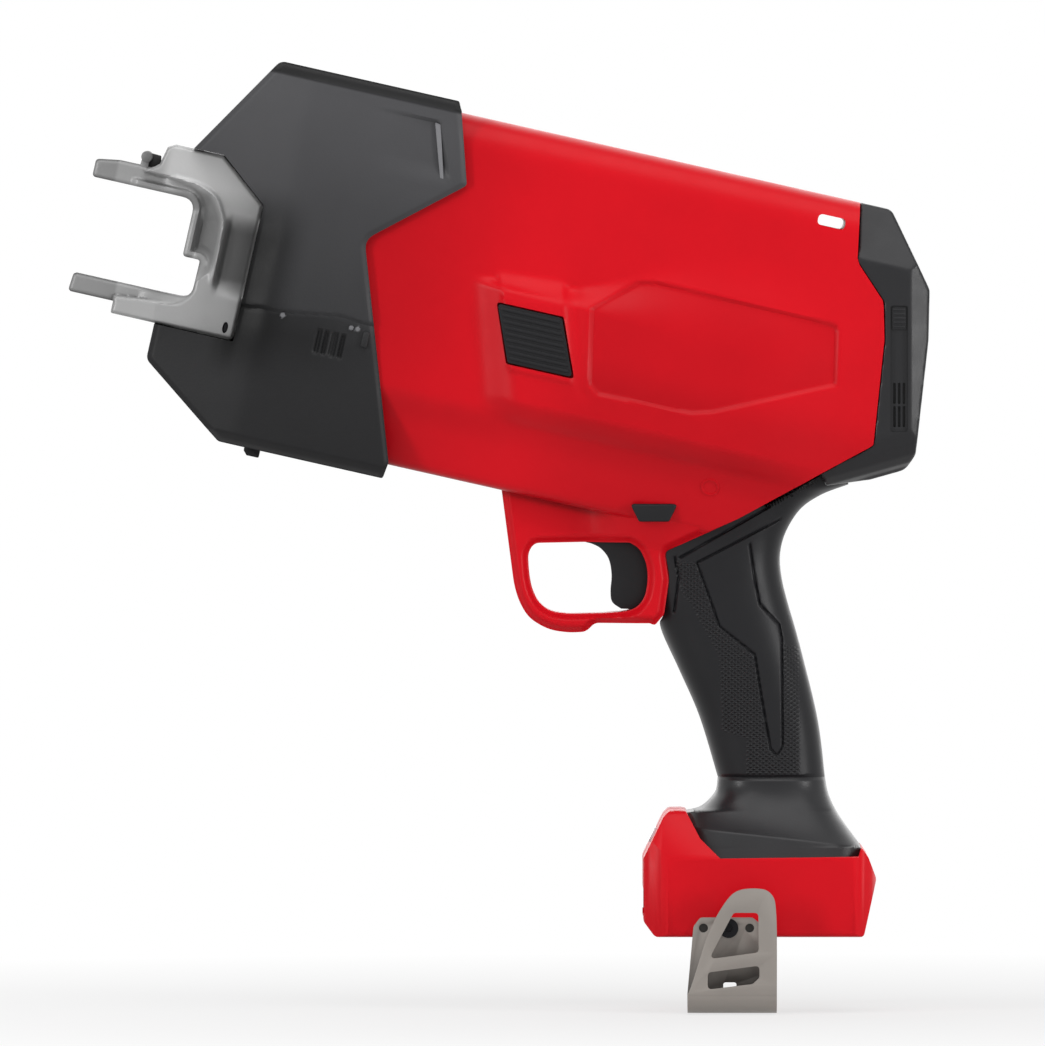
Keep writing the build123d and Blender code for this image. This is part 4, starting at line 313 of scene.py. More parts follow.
def shape_with(piece, kind, **settings):
    """Add a modifier with its settings and apply it."""
    pick(piece)
    bpy.ops.object.modifier_add(type=kind)
    modifier = piece.modifiers[-1]
    for name, value in settings.items():
        setattr(modifier, name, value)
    bpy.ops.object.modifier_apply(modifier=modifier.name)
    return piece


def combine(piece, tool, operation="DIFFERENCE"):
    """Cut, join or intersect a piece with a tool, which is used up."""
    shape_with(piece, "BOOLEAN", operation=operation, object=tool, solver="EXACT")
    bpy.data.objects.remove(tool, do_unlink=True)
    return piece


def joined(name, pieces):
    """Several pieces as one object."""
    pick(pieces[0])
    for piece in pieces:
        piece.select_set(True)
    bpy.ops.object.join()
    pieces[0].name = name
    return pieces[0]


def rounded(points, radii, closed=True, steps=6):
    """An outline whose corners are arcs of the given radii."""
    count = len(points)
    outline = []
    for n, radius in enumerate(radii):
        here = np.array(points[n], float)
        if radius == 0 or (not closed and n in (0, count - 1)):
            outline.append(here)
            continue
        before = np.array(points[n - 1]) - here
        after = np.array(points[(n + 1) % count]) - here
        near, far = np.linalg.norm(before), np.linalg.norm(after)
        turn = math.acos(np.clip(before @ after / (near * far), -1, 1))
        reach = min(radius / math.tan(turn / 2), near * 0.49, far * 0.49)
        start, end = here + before / near * reach, here + after / far * reach
        for t in np.linspace(0, 1, steps + 1):
            outline.append((1 - t) ** 2 * start + 2 * t * (1 - t) * here + t ** 2 * end)
    return outline


def softened(points, radius, steps=6):
    """An outline with the same radius at every corner."""
    return rounded(points, [radius] * len(points), steps=steps)


def disc(u, v, radius, count=32):
    """A round outline."""
    turns = np.linspace(0, 2 * math.pi, count, endpoint=False)
    return [(u + radius * math.cos(t), v + radius * math.sin(t)) for t in turns]


def oval(u, v, half_u, half_v, count=24):
    """An oval outline."""
    return [(u + half_u * p, v + half_v * q) for p, q in disc(0, 0, 1, count)]


def flowing(points, steps=10):
    """A smooth line through every point."""
    p = np.array([points[0], *points, points[-1]], float)
    line = []
    for n in range(1, len(p) - 2):
        for t in np.linspace(0, 1, steps, endpoint=False):
            line.append(0.5 * (2 * p[n] + (p[n + 1] - p[n - 1]) * t
                               + (2 * p[n - 1] - 5 * p[n] + 4 * p[n + 1] - p[n + 2]) * t ** 2
                               + (3 * p[n] - p[n - 1] - 3 * p[n + 1] + p[n + 2]) * t ** 3))
    line.append(p[-2])
    return np.array(line)


def stations(line):
    """Distance run along a line at each of its points."""
    steps = np.linalg.norm(np.diff(np.array(line), axis=0), axis=1)
    return np.concatenate([[0], np.cumsum(steps)])


def along(line, share):
    """Points at shares of a line's length."""
    line = np.array(line)
    run = stations(line)
    return np.stack([np.interp(share * run[-1], run, line[:, k]) for k in range(2)], axis=-1)


def ease(t):
    """A smooth rise from 0 to 1."""
    t = np.clip(t, 0, 1)
    return t * t * (3 - 2 * t)


def line_distance(line, u, v, closed=False):
    """Distance from each spot to a line of straight runs."""
    points = np.array(line, float)
    ends = np.roll(points, -1, axis=0) if closed else points[1:]
    nearest = np.full(np.shape(u), np.inf)
    for (u0, v0), (u1, v1) in zip(points, ends):
        length = (u1 - u0) ** 2 + (v1 - v0) ** 2
        t = np.clip(((u - u0) * (u1 - u0) + (v - v0) * (v1 - v0)) / max(length, 1e-9), 0, 1)
        nearest = np.minimum(nearest, np.hypot(u - u0 - t * (u1 - u0), v - v0 - t * (v1 - v0)))
    return nearest


def depth_inside(outline, u, v):
    """How far each spot lies inside an outline, negative outside it."""
    points = np.array(outline, float)
    inside = np.zeros(np.shape(u), bool)
    for (u0, v0), (u1, v1) in zip(points, np.roll(points, -1, axis=0)):
        if v0 != v1:
            crossing = (v0 > v) != (v1 > v)
            inside ^= crossing & (u < (u1 - u0) * (v - v0) / (v1 - v0) + u0)
    return np.where(inside, 1, -1) * line_distance(outline, u, v, closed=True)


def oblong(left, low, right, high):
    """An outline with four square corners."""
    return [(left, low), (right, low), (right, high), (left, high)]


def coordinates(piece):
    """The points of a piece in metres, one after another."""
    spots = np.empty(len(piece.data.vertices) * 3)
    piece.data.vertices.foreach_get("co", spots)
    return spots


def set_coordinates(piece, spots):
    """Move the points of a piece."""
    piece.data.vertices.foreach_set("co", spots.ravel())
    piece.data.update()


def thickened(piece, step):
    """A sheet extruded by a step in metres, with its faces outwards."""
    edit_all(piece)
    bpy.ops.mesh.extrude_region_move(TRANSFORM_OT_translate={"value": tuple(step)})
    bpy.ops.mesh.select_all(action="SELECT")
    bpy.ops.mesh.normals_make_consistent(inside=False)
    fresh()
    return piece


def slab(name, outline, near, far, place=barrel):
    """A plate: an outline filled and extruded from near to far."""
    fresh()
    bpy.ops.mesh.primitive_circle_add(vertices=len(outline), fill_type="NGON")
    piece = bpy.context.active_object
    piece.name = name
    u, v = np.array([tuple(p) for p in outline], float).T
    set_coordinates(piece, place(u, v, near))
    return thickened(piece, place(u[0], v[0], far) - place(u[0], v[0], near))


def skin(name, columns, rows, spot, wall=0.0, even=True, relief=None):
    """A grid of faces laid over a surface on the left side, thickened inwards, its outer face then raised."""
    fresh()
    bpy.ops.mesh.primitive_grid_add(x_subdivisions=columns, y_subdivisions=rows, size=2)
    piece = bpy.context.active_object
    piece.name = name
    u, v, _ = ((coordinates(piece) + 1) / 2).reshape(-1, 3).T
    set_coordinates(piece, spot(u, v))
    if sum(face.normal.y for face in piece.data.polygons) > 0:
        edit_all(piece)
        bpy.ops.mesh.flip_normals()
        fresh()
    if wall:
        shape_with(piece, "SOLIDIFY", thickness=wall * MM, offset=-1, use_even_offset=even)
    if relief:
        spots = coordinates(piece)
        spots[:3 * len(u)] = relief(u, v).ravel()
        set_coordinates(piece, spots)
    return piece


def relief_block(name, blank, surface, cell, across):
    """A blank whose left face is carved to a surface; across turns upright spots into the surface's axes."""
    x, _, z = spots_of(blank)
    u, v = across(x, z)
    low, high = (u.min() - 0.5, v.min() - 0.5), (u.max() + 0.5, v.max() + 0.5)
    place = barrel if across is to_barrel else upright

    def spot(s, t):
        u, v = low[0] + s * (high[0] - low[0]), low[1] + t * (high[1] - low[1])
        return place(u, v, -surface(u, v))

    sheet = skin(name, int((high[0] - low[0]) / cell), int((high[1] - low[1]) / cell), spot)
    return combine(thickened(sheet, (0, RELIEF_DEPTH * MM, 0)), blank, "INTERSECT")


def as_drawn(x, z):
    """Upright axes left as they are."""
    return x, z


def soften(piece, width, segments=3, angle=35):
    """Round every edge sharper than an angle."""
    return shape_with(piece, "BEVEL", width=width * MM, segments=segments, limit_method="ANGLE",
                      angle_limit=math.radians(angle), use_clamp_overlap=True)


def smooth(piece, angle=35):
    """Shade a piece smooth except across its sharp edges."""
    pick(piece)
    bpy.ops.object.shade_smooth_by_angle(angle=math.radians(angle))
    return piece


def bored(piece, spots, near, far, place=barrel):
    """Cut the wells of screw heads into a piece."""
    wells = [slab("well", disc(*spot, SCREW_WELL), near, far, place) for spot in spots]
    return combine(piece, joined("wells", wells))


def mirrored(piece):
    """The right-hand twin of a left-hand piece, named after it."""
    twin = piece.copy()
    twin.data = piece.data.copy()
    twin.name = piece.name.replace("left", "right")
    bpy.context.collection.objects.link(twin)
    for vertex in twin.data.vertices:
        vertex.co.y = -vertex.co.y
    edit_all(twin)
    bpy.ops.mesh.flip_normals()
    fresh()
    return twin


def remeshed(piece, voxel, relax):
    """A casting: all its solids merged into one skin, and its edges worn soft."""
    shape_with(piece, "REMESH", mode="VOXEL", voxel_size=voxel * MM)
    return shape_with(piece, "SMOOTH", factor=0.5, iterations=relax)


def mark(piece, name, values):
    """Keep a value at every point of a piece, for its finish to read."""
    layer = piece.data.attributes.get(name) or piece.data.attributes.new(name, "FLOAT", "POINT")
    layer.data.foreach_set("value", np.full(len(piece.data.vertices), values, float))


def spots_of(piece):
    """The points of a piece in millimetres, as three rows."""
    return (coordinates(piece) / MM).reshape(-1, 3).T


def paint_shade_by(piece, rule):
    """Mark the painted light and shade at each point of a piece, by a rule in the barrel's axes."""
    x, _, z = spots_of(piece)
    mark(piece, "shade", rule(*to_barrel(x, z)))


def dress(piece, finish, body, node, angle=35):
    """Give a piece its finish, its body and the node it stands for."""
    smooth(piece, angle)
    piece.data.materials.clear()
    piece.data.materials.append(finish)
    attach(piece, body)
    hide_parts(node)
    return piece


def dress_twins(left, right, finish, node, angle=35):
    """Dress a left-hand piece and its twin alike, both fixed to the frame."""
    dress(left, finish, "frame", node + "_left", angle)
    dress(right, finish, "frame", node + "_right", angle)


# Finishes.
def start_tree(holder):
    """The emptied node tree of a material or world."""
    holder.use_nodes = True
    holder.node_tree.nodes.clear()
    return holder.node_tree


def feed(tree, node, values):
    """Set a node's sockets, or link them to other sockets."""
    for name, value in values.items():
        if isinstance(value, bpy.types.NodeSocket):
            tree.links.new(value, node.inputs[name])
        else:
            node.inputs[name].default_value = value


def add(tree, kind, values=None, **settings):
    """A node with its settings and sockets."""
    node = tree.nodes.new(kind)
    for name, value in settings.items():
        setattr(node, name, value)
    feed(tree, node, values or {})
    return node


def start_finish(name):
    """A new material with a shader, its output and the object's own coordinates."""
    material = bpy.data.materials.new(name)
    tree = start_tree(material)
    shader = add(tree, "ShaderNodeBsdfPrincipled")
    add(tree, "ShaderNodeOutputMaterial", {"Surface": shader.outputs["BSDF"]})
    return material, tree, shader, add(tree, "ShaderNodeTexCoord").outputs["Object"]


def noise(tree, place, scale, detail=3.0):
    """A cloud pattern; its scale is in cells per metre."""
    return add(tree, "ShaderNodeTexNoise", {"Vector": place, "Scale": scale, "Detail": detail}).outputs["Fac"]


def spread(tree, value, low, high, from_low=0.3, from_high=0.7):
    """A value moved to another range."""
    ends = {"From Min": from_low, "From Max": from_high, "To Min": low, "To Max": high}
    return add(tree, "ShaderNodeMapRange", {"Value": value, **ends}).outputs["Result"]


def reckoned(tree, operation, first, second):
    """Two values put together by an operation."""
    return add(tree, "ShaderNodeMath", {0: first, 1: second}, operation=operation).outputs["Value"]


def mixed(tree, factor, first, second, **settings):
    """Two colours put together."""
    colours = {"Factor": factor, "A": first, "B": second}
    return add(tree, "ShaderNodeMix", colours, data_type="RGBA", **settings).outputs["Result"]


def clouded(tree, place, scale, tint, vary):
    """A colour that varies in soft clouds."""
    cloud = spread(tree, noise(tree, place, scale, 4.0), 0.0, 1.0)
    ends = [(*(min(part * share, 1) for part in tint), 1) for share in (1 - vary, 1 + vary)]
    return mixed(tree, cloud, *ends)


def bump(tree, shader, height, strength, distance, **below):
    """Relief from a height, laid over any relief below it."""
    values = {"Strength": strength, "Distance": distance * MM, "Height": height, **below}
    normal = add(tree, "ShaderNodeBump", values).outputs["Normal"]
    feed(tree, shader, {"Normal": normal})
    return normal


def moulded(name, tint, rough, grain=1400.0, relief=0.25, vary=0.06, metallic=0.0, sheen=0.5, shade=False):
    """Moulded or cast surface: faint colour clouds, uneven gloss, a fine grain and, where shade is set, the
    painted light and shade its points carry.
    """
    material = bpy.data.materials.get(name)
    if material:
        return material
    material, tree, shader, place = start_finish(name)
    base = clouded(tree, place, 22.0, tint, vary)
    if shade:
        # The shade attribute holds painted light and shade, multiplied into the colour.
        depth = add(tree, "ShaderNodeAttribute", attribute_name="shade").outputs["Fac"]
        base = mixed(tree, 1.0, base, depth, blend_type="MULTIPLY")
    gloss = spread(tree, noise(tree, place, 90.0), rough - 0.04, rough + 0.05)
    feed(tree, shader, {"Base Color": base, "Roughness": gloss, "Metallic": metallic, "Specular IOR Level": sheen})
    bump(tree, shader, noise(tree, place, grain, 2.0), relief, 0.12)
    return material


def palette():
    """The colours among the settings."""
    return bpy.context.scene.cutter_colours


def sizes():
    """The sizes among the settings."""
    return bpy.context.scene.cutter_sizes


def red_plastic():
    return moulded("red_plastic_finish", palette().red, 0.36, 1500.0, 0.2, vary=0.05, sheen=0.13, shade=True)


def nose_plastic():
    return moulded("nose_plastic_finish", palette().nose, 0.42, 1100.0, 0.3, sheen=0.14, shade=True)


def black_plastic():
    return moulded("black_plastic_finish", palette().black, 0.36, 1300.0, 0.2, sheen=0.2)


def cap_rubber():
    return moulded("cap_rubber_finish", palette().rubber, 0.33, 1200.0, 0.2, sheen=0.28)


def cast_metal():
    return moulded("cast_metal_finish", palette().cast, 0.46, 900.0, 0.3, 0.05, 0.3, sheen=0.3, shade=True)


def hook_metal():
    return moulded("hook_metal_finish", palette().hook, 0.36, 700.0, 0.15, 0.05, 0.45, shade=True)


def knurled_rubber():
    """Soft grip rubber: fine diamonds outside its smooth panel."""
    name = "grip_rubber_finish"
    material = bpy.data.materials.get(name)
    if material:
        return material
    material, tree, shader, place = start_finish(name)
    knurl = add(tree, "ShaderNodeAttribute", attribute_name="knurl").outputs["Fac"]
    gloss = reckoned(tree, "ADD", spread(tree, noise(tree, place, 120.0), 0.34, 0.4),
                     spread(tree, knurl, 0.0, 0.06, 0.0, 1.0))
    feed(tree, shader, {"Base Color": clouded(tree, place, 30.0, palette().rubber, 0.08), "Roughness": gloss,
                        "Specular IOR Level": 0.17})
    bands = []
    for turn in (55, -55):
        lean = add(tree, "ShaderNodeMapping", {"Vector": place, "Rotation": (0, math.radians(turn), 0)})
        bands.append(add(tree, "ShaderNodeTexWave", {"Vector": lean.outputs["Vector"], "Scale": 230.0},
                         bands_direction="X").outputs["Fac"])
    diamonds = reckoned(tree, "MULTIPLY", reckoned(tree, "MULTIPLY", *bands), knurl)
    fine = bump(tree, shader, noise(tree, place, 1500.0, 2.0), 0.2, 0.1)
    bump(tree, shader, diamonds, 1.0, 0.4, Normal=fine)
    return material


# Pieces.
def jaw_depths(a, h):
    """How far each spot lies inside the cheek, off the mouth's edge and inside the whole outline."""
    return (depth_inside([*flowing(CHEEK_EDGE, 5), *CHEEK_REST], a, h),
            line_distance(rounded(MOUTH_EDGE, MOUTH_ROUNDS, closed=False), a, h),
            depth_inside(rounded(JAW_OUTLINE, JAW_ROUNDS), a, h))


def jaw_surface(a, h):
    """How far the jaw's left face stands out: prongs low, cheek high, with the lip and ridge cast on them."""
    inside, off_mouth, edge = jaw_depths(a, h)
    off_ridge = line_distance(flowing(RIDGE, 6), a, h)
    upper = ease((h + 9) / 6) * ease((a + 7.5) / 3)
    lip = 2.0 * ease((3.4 - off_mouth) / 1.1) - 1.2 * np.exp(-(off_mouth - 4.6) ** 2) * ease((a - 8) / 8)
    lip *= upper
    climb = np.clip(1 + inside / 9.0, 0, 1) ** 1.6 * ease((a - 4) / 18)
    low = 8.0 + lip + 16.0 * climb
    high = 24.0 - jaw_dish(a, h) * (2.6 + 2.0 * np.clip((a - 33) / 11, 0, 1))
    high -= 2.6 * np.clip((12.6 - a) / 17, 0, 1) * (h < 0)
    face = low + (high - low) * ease(inside + 0.5)
    face += 1.3 * np.exp(-(off_ridge / 1.2) ** 2) * ease((h + 13.5) / 6)
    crease = np.maximum(ease((-13 - h) / 3), ease((12 - a) / 4)) * ease((off_ridge - 2) / 2)
    face -= 0.5 * (1 - ease(np.abs(inside))) * crease
    return face - 0.6 * (1 - ease(edge / 1.3))


def jaw_dish(a, h):
    """1 in the hollow behind the ridge, fading out above and below it."""
    return ease((17.5 - h) / 9) * ease((h + 17) / 9) * ease((a - 31.2) / 3)


def jaw_painted_shade(a, h):
    """Painted light and shade on the casting's skin: painted shade in the hollow, on the upper and lower prong
    tips, in the valley between lip and ridge and along the edges, and painted light on the upper cheek.
    """
    inside, off_mouth, edge = jaw_depths(a, h)
    shade = 1 - 0.62 * jaw_dish(a, h) - 0.25 * ease((-12.5 - a) / 1.5) * (h > 0)
    shade -= 0.28 * ease((-3 - a) / 1.5) * (h < 0)
    shade += 0.4 * ease((h - 17) / 9) * ease((a - 3) / 4)
    shade -= 0.35 * ease(-inside / 2) * ease(off_mouth - 3.2) * ease((a - 8) / 8) * ease((h + 9) / 5)
    return shade - 0.45 * (1 - ease(edge / 1.1)) * (a < 30)


def jaw_left():
    """The left casting: prongs, web and cheek from one relief, the peg, the arm and its flange."""
    blank = slab("blank", rounded(JAW_OUTLINE, JAW_ROUNDS), -60, -2.2)
    rooms = ((oblong(32.6, -40, 50, 40), -17.2), (oblong(-30, 26.6, 32.4, 40), -7),
             (oblong(-30, -40, 32.4, -26.6), -7))
    for room, depth in rooms:
        combine(blank, slab("room", room, depth, 1))
    combine(blank, slab("screw_window", oval(*CHEEK_SCREW, 1.05, 2.2), -80, 5))
    casting = relief_block("jaw_left_skin", blank, jaw_surface, 0.42, to_barrel)
    plates = [slab("anvil", softened(oblong(-20.8, -26.4, 32.5, -21.6), 0.6), -4.0, 0.0),
              slab("peg", disc(-3.3, 29.9, 2.2), -8.2, -3.0),
              slab("peg_stem", [(-5.2, 25.2), (-2.0, 25.2), (-2.0, 30), (-4.9, 30)], -7.8, -3.4),
              slab("arm", softened(ARM_OUTLINE, 4), -15.2, -9.2),
              slab("eye", disc(54, -24, 14, 48), -15.2, -9.2),
              slab("flange", softened(oblong(108, -12, 114, 28), 0.5), -27, -12)]
    jaw = joined("jaw_left_skin", [casting, *[soften(plate, 0.6, 2) for plate in plates]])
    # Painted light and shade on the casting, by the rule above.
    paint_shade_by(jaw, jaw_painted_shade)
    # The web behind the peg is painted nearly black: painted shade in the gap behind the peg.
    web = soften(slab("web", [(-2.8, 31.6), (1.8, 31.4), (2.6, 27.5), (-2, 26)], -4.5, -2.4), 0.4, 2)
    mark(web, "shade", 0.12)
    return joined("jaw_left_skin", [jaw, web])


class CUTTER_OT_jaws(bpy.types.Operator):
    """Cast the two jaw halves"""

    bl_idname = "cutter.jaws"
    bl_label = "Jaws"

    def execute(self, context):
        left = jaw_left()
        dress_twins(left, mirrored(left), cast_metal(), "jaw", angle=40)
        screws = [soften(slab("screw", oval(*CHEEK_SCREW, 1.0, 2.1), side * 23.0, side * 14), 0.3, 2)
                  for side in (-1, 1)]
        dress(joined("cheek_screws_skin", screws), inner_finish("screw"), "frame", "cheek_screws")
        return {"FINISHED"}


def nose_surface(a, h):
    """How far the nose's left face stands out: its tapered front, brows, sunk panel, door seam and latch."""
    taper = 11.5 / 40.5 * np.logaddexp(0, (54 - a) / 1.5) * 1.5
    edge = depth_inside(rounded(NOSE_OUTLINE, NOSE_ROUNDS), a, h)
    face = 38.5 - taper - 1.1 * (1 - ease(edge / 2.0))
    face -= 4.2 * np.clip((h - 72.6) / 4.1, 0, 1) + 4.0 * np.clip((-65.2 - h) / 4.2, 0, 1)
    face -= 3.2 * np.clip((-14 - h) / 52, 0, 1)
    wall = 101.2 + (67.6 - h) * 8.7 / 21.4
    panel = ease((67.7 - h) / 0.9) * ease((h - 43) / 9) * (a < wall + 1.9)
    face -= panel * 1.9 * np.clip((a - 76) / 25, 0, 1) * np.clip((wall + 1.9 - a) / 1.9, 0, 1)
    seam = line_distance(DOOR_SEAM, a, h)
    below = np.interp(a, *np.array(DOOR_SEAM).T) - h
    face -= 0.9 * np.exp(-(seam / 0.55) ** 2) * (a > 45)
    face -= 0.8 * ease(below / 0.6) * (1 - ease((below - 4) / 26)) * ease((a - 40) / 6)
    face -= 1.5 * ease((58 - a) / 14) * ease((a - 43) / 2) * ease((30 - np.abs(h + 4)) / 14)
    for middle in (75.5, 78.6, 81.7, 84.8):
        face -= 1.2 * ease((1.1 - np.abs(a - middle)) / 0.5) * ease((5.0 - np.abs(h + 24)) / 0.8)
    return face


def nose_half():
    """The left nose cover: a hollow hexagon, open behind, with the jaw's pocket cut into its front."""
    blank = slab("blank", rounded(NOSE_OUTLINE, NOSE_ROUNDS), -60, 0)
    room = slab("room", NOSE_ROOM, -31.0, 1)
    combine(room, slab("room_plan", NOSE_ROOM_PLAN, -90, 90, place=barrel_plan), "INTERSECT")
    combine(blank, room)
    combine(blank, slab("pocket", softened(CHEEK_POCKET, 1), -80, -20))
    combine(blank, slab("notch", JAW_NOTCH, -22, 2))
    combine(blank, slab("blade_way", BLADE_WAY, -2.7, 3))
    parts = [relief_block("nose_left_skin", blank, nose_surface, 0.7, to_barrel),
             soften(slab("lug", softened(NOSE_LUG, 0.6), -6, 0), 0.5, 2)]
    for a, h in DOOR_PINS:
        parts.append(soften(slab("pin", disc(a, h, 0.9, 16), -38.4, -36.0), 0.25, 2))
    knuckle = slab("knuckle", softened(oblong(91.8, -22.5, 94.2, -16.4), 0.9), -38.8, -36)
    nose = joined("nose_left_skin", [*parts, soften(knuckle, 0.5, 2)])
    # Painted light and shade on the nose, by the rule below.
    paint_shade_by(nose, nose_painted_shade)
    # The bar is painted bright: a painted highlight where the panel's rear wall catches the light.
    bar = slab("bar", softened(PANEL_HIGHLIGHT_BAR, 0.5), -37.9, -35)
    mark(soften(bar, 0.3, 2), "shade", 2.6)
    return joined("nose_left_skin", [nose, bar])


def nose_painted_shade(a, h):
    """Painted light and shade on the nose: lighter towards the top, a painted dark brow, painted shade beside the
    jaw and under the door seam, and the pins painted bright, partly their steel and partly a painted highlight.
    """
    shade = np.interp(h, [-66, -24, -12, 30, 66], [0.22, 0.28, 0.5, 0.7, 0.97])
    shade *= 1 - 0.9 * ease((h - 71.6) / 0.9)
    shade *= 1 - 0.92 * ease((66 - a) / 18) * ease((a - 34) / 6) * ease((40 - np.abs(h + 8)) / 24)
    below = np.interp(a, *np.array(DOOR_SEAM).T) - h
    shade *= 1 - 0.4 * ease(below / 1.5) * (1 - ease((below - 6) / 26)) * ease((100 - a) / 30)
    pins = np.min([np.hypot(a - p, h - q) for p, q in DOOR_PINS], axis=0)
    return np.where(pins < 0.95, 2.2, shade)


class CUTTER_OT_nose_covers(bpy.types.Operator):
    """Mould the two nose covers"""

    bl_idname = "cutter.nose_covers"
    bl_label = "Nose covers"

    def execute(self, context):
        left = nose_half()
        right = mirrored(left)
        bored(right, NOSE_SCREWS, 26, 45)
        # Points made by the wells get the nose's painted light and shade too.
        x, _, z = spots_of(right)
        kept = np.empty(len(x))
        right.data.attributes["shade"].data.foreach_get("value", kept)
        mark(right, "shade", np.where(kept > 0, kept, nose_painted_shade(*to_barrel(x, z))))
        dress_twins(left, right, nose_plastic(), "nose_cover")
        return {"FINISHED"}


def pad_relief(a, h):
    """How far the barrel's side swells: the hood over the button, the pad behind it and the panel sunk in it."""
    t = ease((a - 150) / 80)
    pad = ease((15 + 31 * t - h) / (5 + 35 * t)) * ease((h + 40) / 11) * ease((292 - a) / 55)
    pad = sizes().pad_rise * 0.9 * pad * ease((a - 124 - (15 - h) * 0.31) / 18)
    left, right = 134.8 + 0.339 * (16.5 - h), 164.5 + 0.316 * (18.5 - h)
    hood = ease((18.5 + 0.07 * (a - 135) - h) / 12.5) * ease((h + 22) / 4)
    hood *= sizes().pad_rise * 0.97 * ease((a - left) / 3) * ease((right - a) / 4.0)
    gutter = np.exp(-((a - right - 1.0) / 2.8) ** 2) * ease((21 - h) / 5) * ease((h + 26) / 6)
    sunk = sizes().panel_depth * ease((depth_inside(PANEL_OUTLINE, a, h) + 0.3) / 1.8)
    swell = 0.5 * (pad + hood + np.sqrt((pad - hood) ** 2 + 1) - 1)
    return swell - 0.7 * gutter - sunk


def red_painted_shade(a, h):
    """Painted light and shade on the red: darker towards the nose, inside the panel and below it, lighter low on
    the flank, and a painted shadow in the guard's corner under the barrel.
    """
    shade = 1 - 0.18 * ease((155 - a) / 60) - 0.12 * ease((depth_inside(PANEL_OUTLINE, a, h) + 0.5) / 2)
    shade += 0.12 * ease((-40 - h) / 10) - 0.17 * ease((-4 - h) / 18) * ease((a - 150) / 40)
    return shade - 0.45 * np.exp(-((h + 64.6) / 1.4) ** 2) * ease((200 - a) / 12)


def on_flank(a, down, out):
    """A place on the barrel's leaning lower flank, by its distance down it and outwards."""
    y, h = BODY_SECTION[2]
    return barrel(a, h - FLANK_DOWN * down - FLANK_IN * out, y + FLANK_IN * down - FLANK_DOWN * out)


def barrel_half():
    """The left barrel shell with its side pad, the floor of its button well and the sleeve of its tether slot."""
    section = rounded(BODY_SECTION, BODY_ROUNDS, closed=False, steps=12)
    run = stations(section)
    path = np.array([tuple(p) for p in section])
    rows = sizes().barrel_rows
    edge = np.array([0.0, 0.4, 0.9])
    marks = np.interp([-32, 26, 48], -path[:, 1], run)
    middle = np.interp(np.linspace(0, 1, rows - 5), [0, 0.2, 0.72, 0.86, 1], [1.8, *marks, run[-1] - 1.8])
    steps = np.concatenate([edge, middle, run[-1] - edge[::-1]])
    slope = np.gradient(path, run, axis=0)
    rear_h, rear_a = np.array(REAR_EDGE).T

    def spot(u, v, rise=0.0):
        s = np.interp(v * rows, np.arange(rows + 1), steps)
        y, h = np.interp(s, run, path[:, 0]), np.interp(s, run, path[:, 1])
        out_y, out_h = np.interp(s, run, slope[:, 1]), -np.interp(s, run, slope[:, 0])
        share = np.interp(u, [0, 0.1, 0.93, 1], [0, 0.2, 0.93, 1])
        a = BARREL_FRONT + share * (np.interp(h, rear_h, rear_a) - sizes().seam_gap / 2 - BARREL_FRONT)
        a -= np.interp(share, [0.2, 0.47, 0.93, 1], [0, 0.14, 0.085, 0]) * np.clip(h, -30, 30)
        out = rise * pad_relief(a, h) * np.clip(-out_y, 0, 1)
        out -= rise * 0.35 * (1 - ease(np.minimum(s, run[-1] - s) / 0.9))
        return barrel(a, h + out_h * out, y + out_y * out)

    shell = skin("housing_left_skin", sizes().barrel_columns, rows, spot, sizes().wall,
                 relief=lambda u, v: spot(u, v, rise=1.0))
    well_floor = slab("well_floor", softened(WELL_FLOOR, 1.2), -34.7, -33.0)
    slot = softened(oblong(250.4, 60.9, 261, 65.1), 1.9)
    sleeve = softened(oblong(248.4, 58.9, 263, 67.1), 3)
    well = slab("well", softened(BUTTON_WELL, 1.2), -60, -30)
    combine(shell, joined("holes", [slab("slot", slot, -60, 5), well]))
    tube = combine(slab("sleeve", sleeve, -30, 0), slab("slot", slot, -60, 5))
    ring = slab("ring", disc(*MOULD_RING, 3.6), -0.5, 0.3, place=on_flank)
    soften(combine(ring, slab("eye", disc(*MOULD_RING, 2.7), -2, 2, place=on_flank)), 0.2, 2, angle=50)
    return [shell, well_floor, tube, ring]


def guard_surface(x, z):
    """How far the guard and the handle's front stand out, swelling up to the barrel behind the slider."""
    face = 10 + 7.5 * ease((x + 64) / 22)
    below = -64 - to_barrel(x, z)[1]
    flank = 21.85 - 0.464 * below
    face += (np.maximum(flank, face) - face) * ease((x + 70) / 34)
    edge = np.minimum(depth_inside(rounded(GUARD_OUTLINE, GUARD_ROUNDS), x, z),
                      -depth_inside(rounded(GUARD_OPENING, OPENING_ROUNDS), x, z))
    return face - 2.6 * (1 - ease(edge / 3.4)) ** 1.5


def handle_half():
    """The left half of the guard, the handle's front and the core inside the grip."""
    blank = slab("blank", rounded(GUARD_OUTLINE, GUARD_ROUNDS), -60, 0, place=upright)
    combine(blank, slab("opening", rounded(GUARD_OPENING, OPENING_ROUNDS), -80, 5, place=upright))
    combine(blank, slab("trigger_room", oblong(-58, 123.3, -27.8, 149.6), -7.8, 5, place=upright))
    guard = relief_block("guard", blank, guard_surface, 0.5, as_drawn)
    core = slab("core", CORE_OUTLINE, -11, 0, place=upright)
    combine(core, slab("switch_room", oblong(-40, 123.3, -3, 149.6), -9, 5, place=upright))
    tongue = slab("tongue", [(-37, 122.8), (-31.8, 122.8), (-27, 134), (-26, 147), (-36, 147)], -10.8, -8.2,
                  place=upright)
    return [core, guard, tongue]


